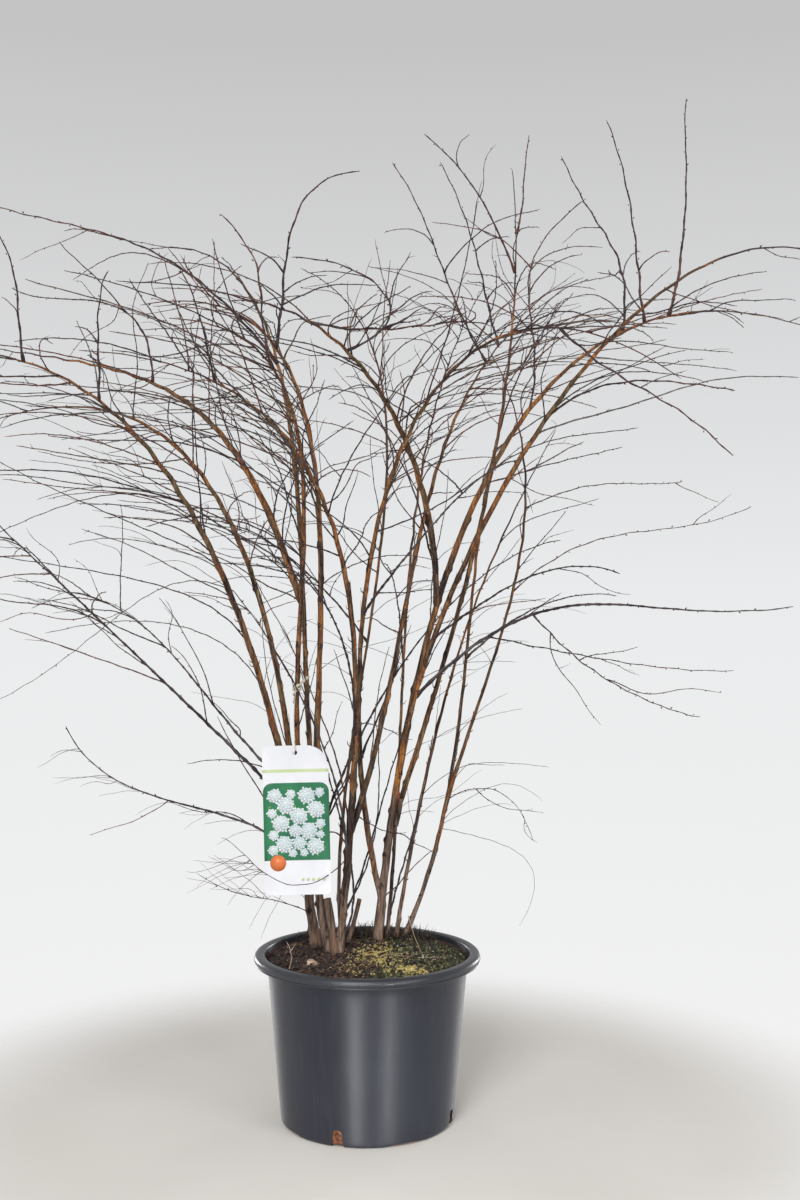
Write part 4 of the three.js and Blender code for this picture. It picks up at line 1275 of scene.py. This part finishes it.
# crumbs, chips and grains lie on the bed
ball = bmesh.new()
bmesh.ops.create_icosphere(ball, subdivisions=1, radius=1)
BALL = np.array([tuple(v.co) for v in ball.verts])
BALL_FACES = [[v.index for v in f.verts] for f in ball.faces]
ball.free()
crumbs = Heap("soil_crumbs", SOIL_LOOKS, "soil")
crumb_dice = np.random.default_rng(12)


def scatter(number, zone, size, shape, slot, rise=0.35, heaped=False):
    """Lumps of one kind, each sunk a little, in a zone of low x, high x, low y, high y or, heaped,
    round a middle x with its spread and a middle y with its spread."""
    pick = crumb_dice.normal if heaped else crumb_dice.uniform
    placed = []
    while len(placed) < number:
        x, y = pick(zone[0], zone[1]), pick(zone[2], zone[3])
        if math.hypot(x, y) < BED_REACH:
            placed.append((x, y, soil_height(x, y)))
    sizes = crumb_dice.uniform(*size, number)[:, None, None] * MM
    lumps = BALL * crumb_dice.uniform(0.65, 1.2, (number, len(BALL), 1)) * np.array(shape)
    turns = crumb_dice.uniform(0, 2 * np.pi, (number, 1))
    tips = crumb_dice.uniform(-0.35, 0.35, (number, 1))
    x, z = turned(lumps[..., 0], lumps[..., 2], tips)
    x, y = turned(x, lumps[..., 1], turns)
    lumps = np.stack([x, y, z], axis=-1) * sizes
    crumbs.copies(lumps + np.array(placed)[:, None] + UP * sizes * rise, BALL_FACES, slot)


WHOLE = (-0.15, 0.15, -0.15, 0.15)
scatter(900, WHOLE, (1.2, 3.4), (1, 1, 0.8), EARTH)
scatter(420, (-0.15, 0.02, -0.15, 0.15), (1.4, 4.2), (1, 0.8, 0.6), LOAM)
scatter(150, (-0.15, 0.03, -0.15, 0.15), (4, 10), (1, 0.45, 0.16), LOAM)
scatter(60, WHOLE, (5, 12), (1, 0.3, 0.12), EARTH)
scatter(90, WHOLE, (0.8, 2.0), (1, 0.8, 0.7), PALE)
for number, zone, size, slot in (
    (640, (0.012, 0.019, -0.03, 0.036), (1.0, 2.5), OCHRE),
    (170, (0.066, 0.013, -0.106, 0.01), (1.2, 3.0), OCHRE),
    (120, (-0.02, 0.02, -0.1, 0.025), (0.9, 1.8), OCHRE),
    (240, (0.05, 0.05, -0.03, 0.06), (0.8, 1.7), OCHRE),
    (260, (0.04, 0.05, -0.03, 0.05), (0.7, 1.6), WHITE),
):
    scatter(number, zone, size, (1, 0.9, 0.8), slot, heaped=True)
scatter(1, (-0.084, -0.082, -0.078, -0.076), (11.5, 11.6), (1, 0.6, 0.62), PALE)
scatter(1, (0.087, 0.089, -0.035, -0.033), (11, 11.1), (1, 0.16, 0.08), WHITE, rise=0.3)
crumbs.build(smooth=False)

# moss leaves, litter at the back edge and dry twigs
litter = Heap("soil_litter", [*SOIL_LOOKS, *TWIG_LOOKS], "soil")
sprig_dice = random.Random(31)


def sprig(x, y, height, lean, width, slot):
    """One pointed leaf or dry stalk that stands on the bed."""
    turn = sprig_dice.uniform(0, 2 * math.pi)
    foot = np.array([x, y, soil_height(x, y) - 1.2 * MM])
    out = np.array([math.cos(turn), math.sin(turn), 0.0])
    path = [foot, foot + UP * height * 0.5 + out * lean * 0.3, foot + UP * height + out * lean]
    litter.add(*tube(path, np.array([1, 0.85, 0.12]) * width, 3), slot)


def fallen(*places, width=0.7, slot=PALE):
    """A dry stalk that lies on the bed and follows it."""
    path = [np.array([x, y, soil_height(x, y) + rise * MM]) for x, y, rise in places]
    fine = [path[0]]
    for a, b in zip(path, path[1:]):
        fine += [a + (b - a) * k / 6 for k in range(1, 7)]
    litter.add(*tube(fine, np.linspace(1, 0.5, len(fine)) * width * MM, 5), slot)


for _ in range(5200):
    x, y = sprig_dice.uniform(-0.06, 0.15), sprig_dice.uniform(-0.145, 0.145)
    if math.hypot(x, y) < 0.149 and in_moss(x, y) > -0.004:
        height = sprig_dice.uniform(2, 5.5) * MM
        slot = MOSS if sprig_dice.random() < 0.9 else OCHRE
        sprig(x, y, height, height * 0.7, 0.55 * MM, slot)
for _ in range(520):
    x, y = sprig_dice.uniform(-0.12, 0.11), sprig_dice.uniform(0.075, 0.147)
    if math.hypot(x, y) < 0.148:
        height = sprig_dice.uniform(6, 26) * MM
        sprig(x, y, height, 11 * MM, 0.9 * MM, sprig_dice.choice([EARTH, EARTH, LOAM, MOSS]))
fallen((-0.118, -0.085, 2), (-0.116, -0.06, 9), (-0.122, -0.03, 16), (-0.128, -0.015, 21), width=0.8)
fallen((-0.121, -0.04, 12), (-0.112, -0.028, 20), width=0.6)
fallen((0.066, 0.108, 34), (0.075, 0.05, 14), (0.086, -0.005, 1), width=0.9)
fallen((-0.09, 0.03, 1), (-0.04, -0.06, 2), (0.0, -0.11, 1), width=0.5, slot=LOAM)
fallen((0.03, -0.02, 1.5), (0.085, -0.045, 2.5), (0.125, -0.03, 1), width=0.6)
litter.build()

# ---------------- label
CARD_HALF_WIDTH, CARD_HALF_HEIGHT = 51, 115.5
HOLE_HEIGHT = 104.5
CARD_TURN = Matrix.Rotation(math.radians(-1.4), 4, "Y")
CARD_PLACE = Matrix.Translation(Vector((-108, -68, 485)) * MM) @ CARD_TURN


def on_card(x, z, out):
    """A place on the card in the frame of the plant: x and z from its middle, out from its face."""
    curl = -1.3 * (x / CARD_HALF_WIDTH) ** 2 + 0.9 * math.sin(z / CARD_HALF_HEIGHT * 1.6)
    return CARD_PLACE @ (Vector((x, curl - 0.5 - out, z)) * MM)


def inset(from_edge, radius):
    """How far a rounded corner moves a plate's side in at a distance from the plate's end."""
    if from_edge >= radius:
        return 0.0
    return radius - math.sqrt(max(radius**2 - (radius - from_edge) ** 2, 0.0))


def plate(heap, low, high, corners, front, back, slot):
    """A closed plate across the card, rounded at its low left, low right, top left and top right."""
    low_left, low_right, top_left, top_right = corners
    columns, row_count = 15, 42
    rows = low + (high - low) * (1 - np.cos(np.linspace(0, np.pi, row_count))) / 2
    points = []
    for out in (front, back):
        for z in rows:
            left = inset(z - low, low_left) or inset(high - z, top_left)
            right = inset(z - low, low_right) or inset(high - z, top_right)
            places = np.linspace(left - CARD_HALF_WIDTH, CARD_HALF_WIDTH - right, columns)
            points += [on_card(x, z, out) for x in places]
    size = row_count * columns
    grid = np.arange(size).reshape(row_count, columns)
    cells = np.stack([grid[:-1, :-1], grid[:-1, 1:], grid[1:, 1:], grid[1:, :-1]], axis=-1).reshape(-1, 4)
    faces = np.stack([cells, cells[:, [0, 3, 2, 1]] + size], axis=1).reshape(-1, 4).tolist()
    rim = [*grid[0], *grid[1:, -1], *grid[-1, -2::-1], *grid[-2:0:-1, 0]]
    faces += [[a + size, b + size, b, a] for a, b in zip(rim, rim[1:] + rim[:1])]
    heap.add(np.array(points), faces, slot)


ink = Heap("card_print", CARD_LOOKS, "label")


def dot(x, z, radius, out, slot, stretch=1.0, turn=0.0):
    """A thin raised round of printing ink."""
    sides, deep = 22, 0.14
    angles = circle(sides)
    across, upward = turned(radius * np.cos(angles), radius * stretch * np.sin(angles), turn)
    points = [on_card(x + dx, z + dz, level) for level in (out - deep, out) for dx, dz in zip(across, upward)]
    ink.add(np.array(points), tube_faces(2, sides), slot)


card_heap = Heap("card", CARD_LOOKS[:1], "label")
plate(card_heap, -CARD_HALF_HEIGHT, CARD_HALF_HEIGHT, (8, 8, 8, 34), 0.0, -1.0, CARD)
card = card_heap.build(["label_card"])
hole_heap = Heap("hole", CARD_LOOKS[:1], "label")
hole_path = [CARD_PLACE @ (Vector((0, y, HOLE_HEIGHT)) * MM) for y in (-8, 0, 8)]
hole_heap.add(*tube(hole_path, 3.5 * MM, 28))
cut(card, hole_heap.build())
card.data.set_sharp_from_angle(angle=math.radians(40))

# the print: a green panel with flower heads and leaves, a dot, a line and a row of small dots
plate(ink, -62, 58, (0.5, 0.5, 14, 14), 0.05, -0.2, GREEN)
ink_dice = random.Random(77)
HEAD_TRIALS = 1500
heads = []
for trial in range(HEAD_TRIALS):
    radius = between(14.5, 5, trial / HEAD_TRIALS)
    x, z = ink_dice.uniform(-46 + radius, 46 - radius), ink_dice.uniform(-58 + radius, 52 - radius)
    if all(math.hypot(x - a, z - b) > (radius + c) * 0.84 for a, b, c in heads):
        heads.append((x, z, radius))
for x, z, radius in heads:
    dot(x, z, radius * 0.9, 0.09, MIST, 0.94, ink_dice.uniform(0, 3))
    petals = round(radius * 2.2)
    for k in range(petals):
        a, away = k * GOLDEN, radius * 0.95 * math.sqrt((k + 0.5) / petals)
        petal = radius * ink_dice.uniform(0.55, 0.9) / math.sqrt(petals)
        dot(x + away * math.cos(a), z + away * math.sin(a), petal, 0.13 + 0.004 * k, CREAM, 0.8, a)
for _ in range(34):
    x, z, radius = ink_dice.uniform(-44, 44), ink_dice.uniform(-58, 48), ink_dice.uniform(2, 4)
    dot(x, z, radius, 0.07, LEAF, 0.45, ink_dice.uniform(0, 3))
dot(-30, -66, 12.5, 0.22, ORANGE)
plate(ink, 74, 79, (0.5, 0.5, 0.5, 0.5), 0.05, -0.2, LIME)
for k in range(5):
    dot(8 + k * 8, -92, 2.4, 0.08, LIME)
ink.build()

# ---------------- string and tie
tie = Heap("string", [STRING_LOOK], "tie")


def strands(path, twist, side, other, spread, thick, sides=6):
    """Two strands twisted round each other along a path, in millimetres apart and thick."""
    for phase in (0, math.pi):
        turns = twist[:, None] + phase
        around = np.cos(turns) * side + np.sin(turns) * other
        tie.add(*tube(path + around * spread * MM, thick * MM, sides))


# a band round the bough, the run to the knot and the loose end beyond it
HELD_AT = 0.27
bough = limbs["middle_2"]
along = bough.tangent(HELD_AT)
side = unit(np.cross(along, UP))
other = np.cross(along, side)
turns = np.linspace(0, 2 * math.pi * 2.2, 90)[:, None]
reach = float(bough.radius(HELD_AT)) + 2.0 * MM
band = bough.point(HELD_AT) + along * (np.arange(90)[:, None] / 90 - 0.5) * 7 * MM
band = band + (side * np.cos(turns) + other * np.sin(turns)) * reach
tie.add(*tube(band, 1.2 * MM, 7))
knot = np.array([-108.7, -74, 691]) * MM
loose_end = np.array([-90, -50, 706]) * MM
way = np.linspace(0, 1, 40)
strands(band[0] + (knot - band[0]) * way[:, None], way * 16, ACROSS, UP, 0.9, 1.1)
strands(knot + (loose_end - knot) * way[:, None], way * 13, BACK, UP, 1.3, 1.6)

# a loop through the hole, in two halves, and two thin strands from it up to the knot
LOOP = 6.4 * MM
hole_top = np.array(CARD_PLACE @ (Vector((0, 0, HOLE_HEIGHT + 2.3)) * MM))
middle = hole_top + UP * LOOP
angles = np.linspace(0, 2 * math.pi, 33)[:, None]
loop = middle + (BACK * np.sin(angles) + UP * np.cos(angles)) * LOOP
for half in (loop[:17], loop[16:]):
    tie.add(*tube(half, 0.75 * MM, 6))
steps = np.arange(21)
shares = steps[:, None] / 20
drop = knot + (middle + UP * LOOP - knot) * shares + np.array([-2, -1, 0]) * MM * np.sin(np.pi * shares)
strands(drop, steps * 1.7, ACROSS, BACK, 0.4, 0.42, 5)
tie.build(["label_tie"])

# ---------------- floor, light and camera
floor_look = Look("floor_look", 0.75, 0.2)
cloud = floor_look.ramp(floor_look.noise(3, 3), (0.3, (228, 224, 217)), (0.7, (233, 229, 223)))
floor_look.feed("Base Color", cloud)
distance = floor_look.node("VectorMath", {0: floor_look.place((1, 1, 0))}, operation="LENGTH")
fade = floor_look.spread(distance.outputs["Value"], 0.5, 0.95, 0.0, 1.0, interpolation_type="SMOOTHSTEP")
clear = floor_look.node("BsdfTransparent").outputs["BSDF"]
blend = floor_look.node("MixShader", {0: fade, 1: floor_look.shader.outputs["BSDF"], 2: clear})
floor_look.put(blend.outputs["Shader"], floor_look.tree.nodes["Material Output"].inputs["Surface"])
disc = bmesh.new()
bmesh.ops.create_circle(disc, cap_ends=True, segments=96, radius=1.3)
floor = finished(disc, "floor")
floor.data.materials.append(floor_look.material)

# a pale sky, dimmer for the shine that comes from the front and for soft light
scene.world = bpy.data.worlds.new("world")
sky = Nodes(scene.world)
axes = sky.node("SeparateXYZ", {0: sky.node("TexCoord").outputs["Generated"]})
rise = sky.spread(axes.outputs["Z"], -0.35, 0.35, 0.0, 1.0)
shades = sky.ramp(rise, (0.0, (243, 243, 243)), (0.5, (234, 235, 236)), (1.0, (196, 196, 197)))
rays = sky.node("LightPath")
front = sky.spread(axes.outputs["Y"], -0.5, 0.0, 1.0, 0.0)
gloss = sky.spread(sky.product(rays.outputs["Is Glossy Ray"], front), 0.0, 1.0, 1.0, 0.4)
soft = sky.spread(rays.outputs["Is Diffuse Ray"], 0.0, 1.0, 1.0, 0.74)
background = sky.tree.nodes["Background"]
sky.put(shades, background.inputs["Color"])
sky.put(sky.product(gloss, soft), background.inputs["Strength"])


def softbox(name, place, aim, width, height, power, spread=180):
    """A soft light that the camera doesn't see, with its spread in degrees."""
    data = bpy.data.lights.new(name, "AREA")
    data.spread = math.radians(spread)
    data.shape, data.size, data.size_y, data.energy = "RECTANGLE", width, height, power
    light = add_object(name, data)
    light.location = place
    light.rotation_euler = (Vector(aim) - Vector(place)).to_track_quat("-Z", "Y").to_euler()
    light.visible_camera = False


softbox("key", (-0.7, -3.2, 2.4), (0, 0, 0.8), 1.3, 1.3, 85)
softbox("fill", (2.2, -2.2, 1.8), (0, 0, 0.7), 1.2, 1.6, 24)
softbox("strip_left", (-0.47, -2.15, 0.2), (0, 0, 0.1), 0.36, 0.3, 0.27, 14)
softbox("strip_right", (0.93, -1.99, 0.2), (0, 0, 0.1), 0.32, 0.3, 0.22, 14)
softbox("edge_left", (-1.3, 1.75, 0.3), (0, 0, 0.12), 0.9, 0.5, 0.42, 14)
softbox("edge_right", (1.35, 1.75, 0.3), (0, 0, 0.12), 0.9, 0.5, 0.4, 14)

camera_data = bpy.data.cameras.new("camera")
camera_data.lens, camera_data.sensor_width = 43.9, 36.0
camera_data.clip_start, camera_data.clip_end = 0.05, 50
camera = add_object("camera", camera_data)
camera.location = (0.052, -2.33, 0.841)
camera.rotation_euler = (math.radians(90 - 0.39), 0, 0)
scene.camera = camera
scene.view_settings.view_transform = "Standard"
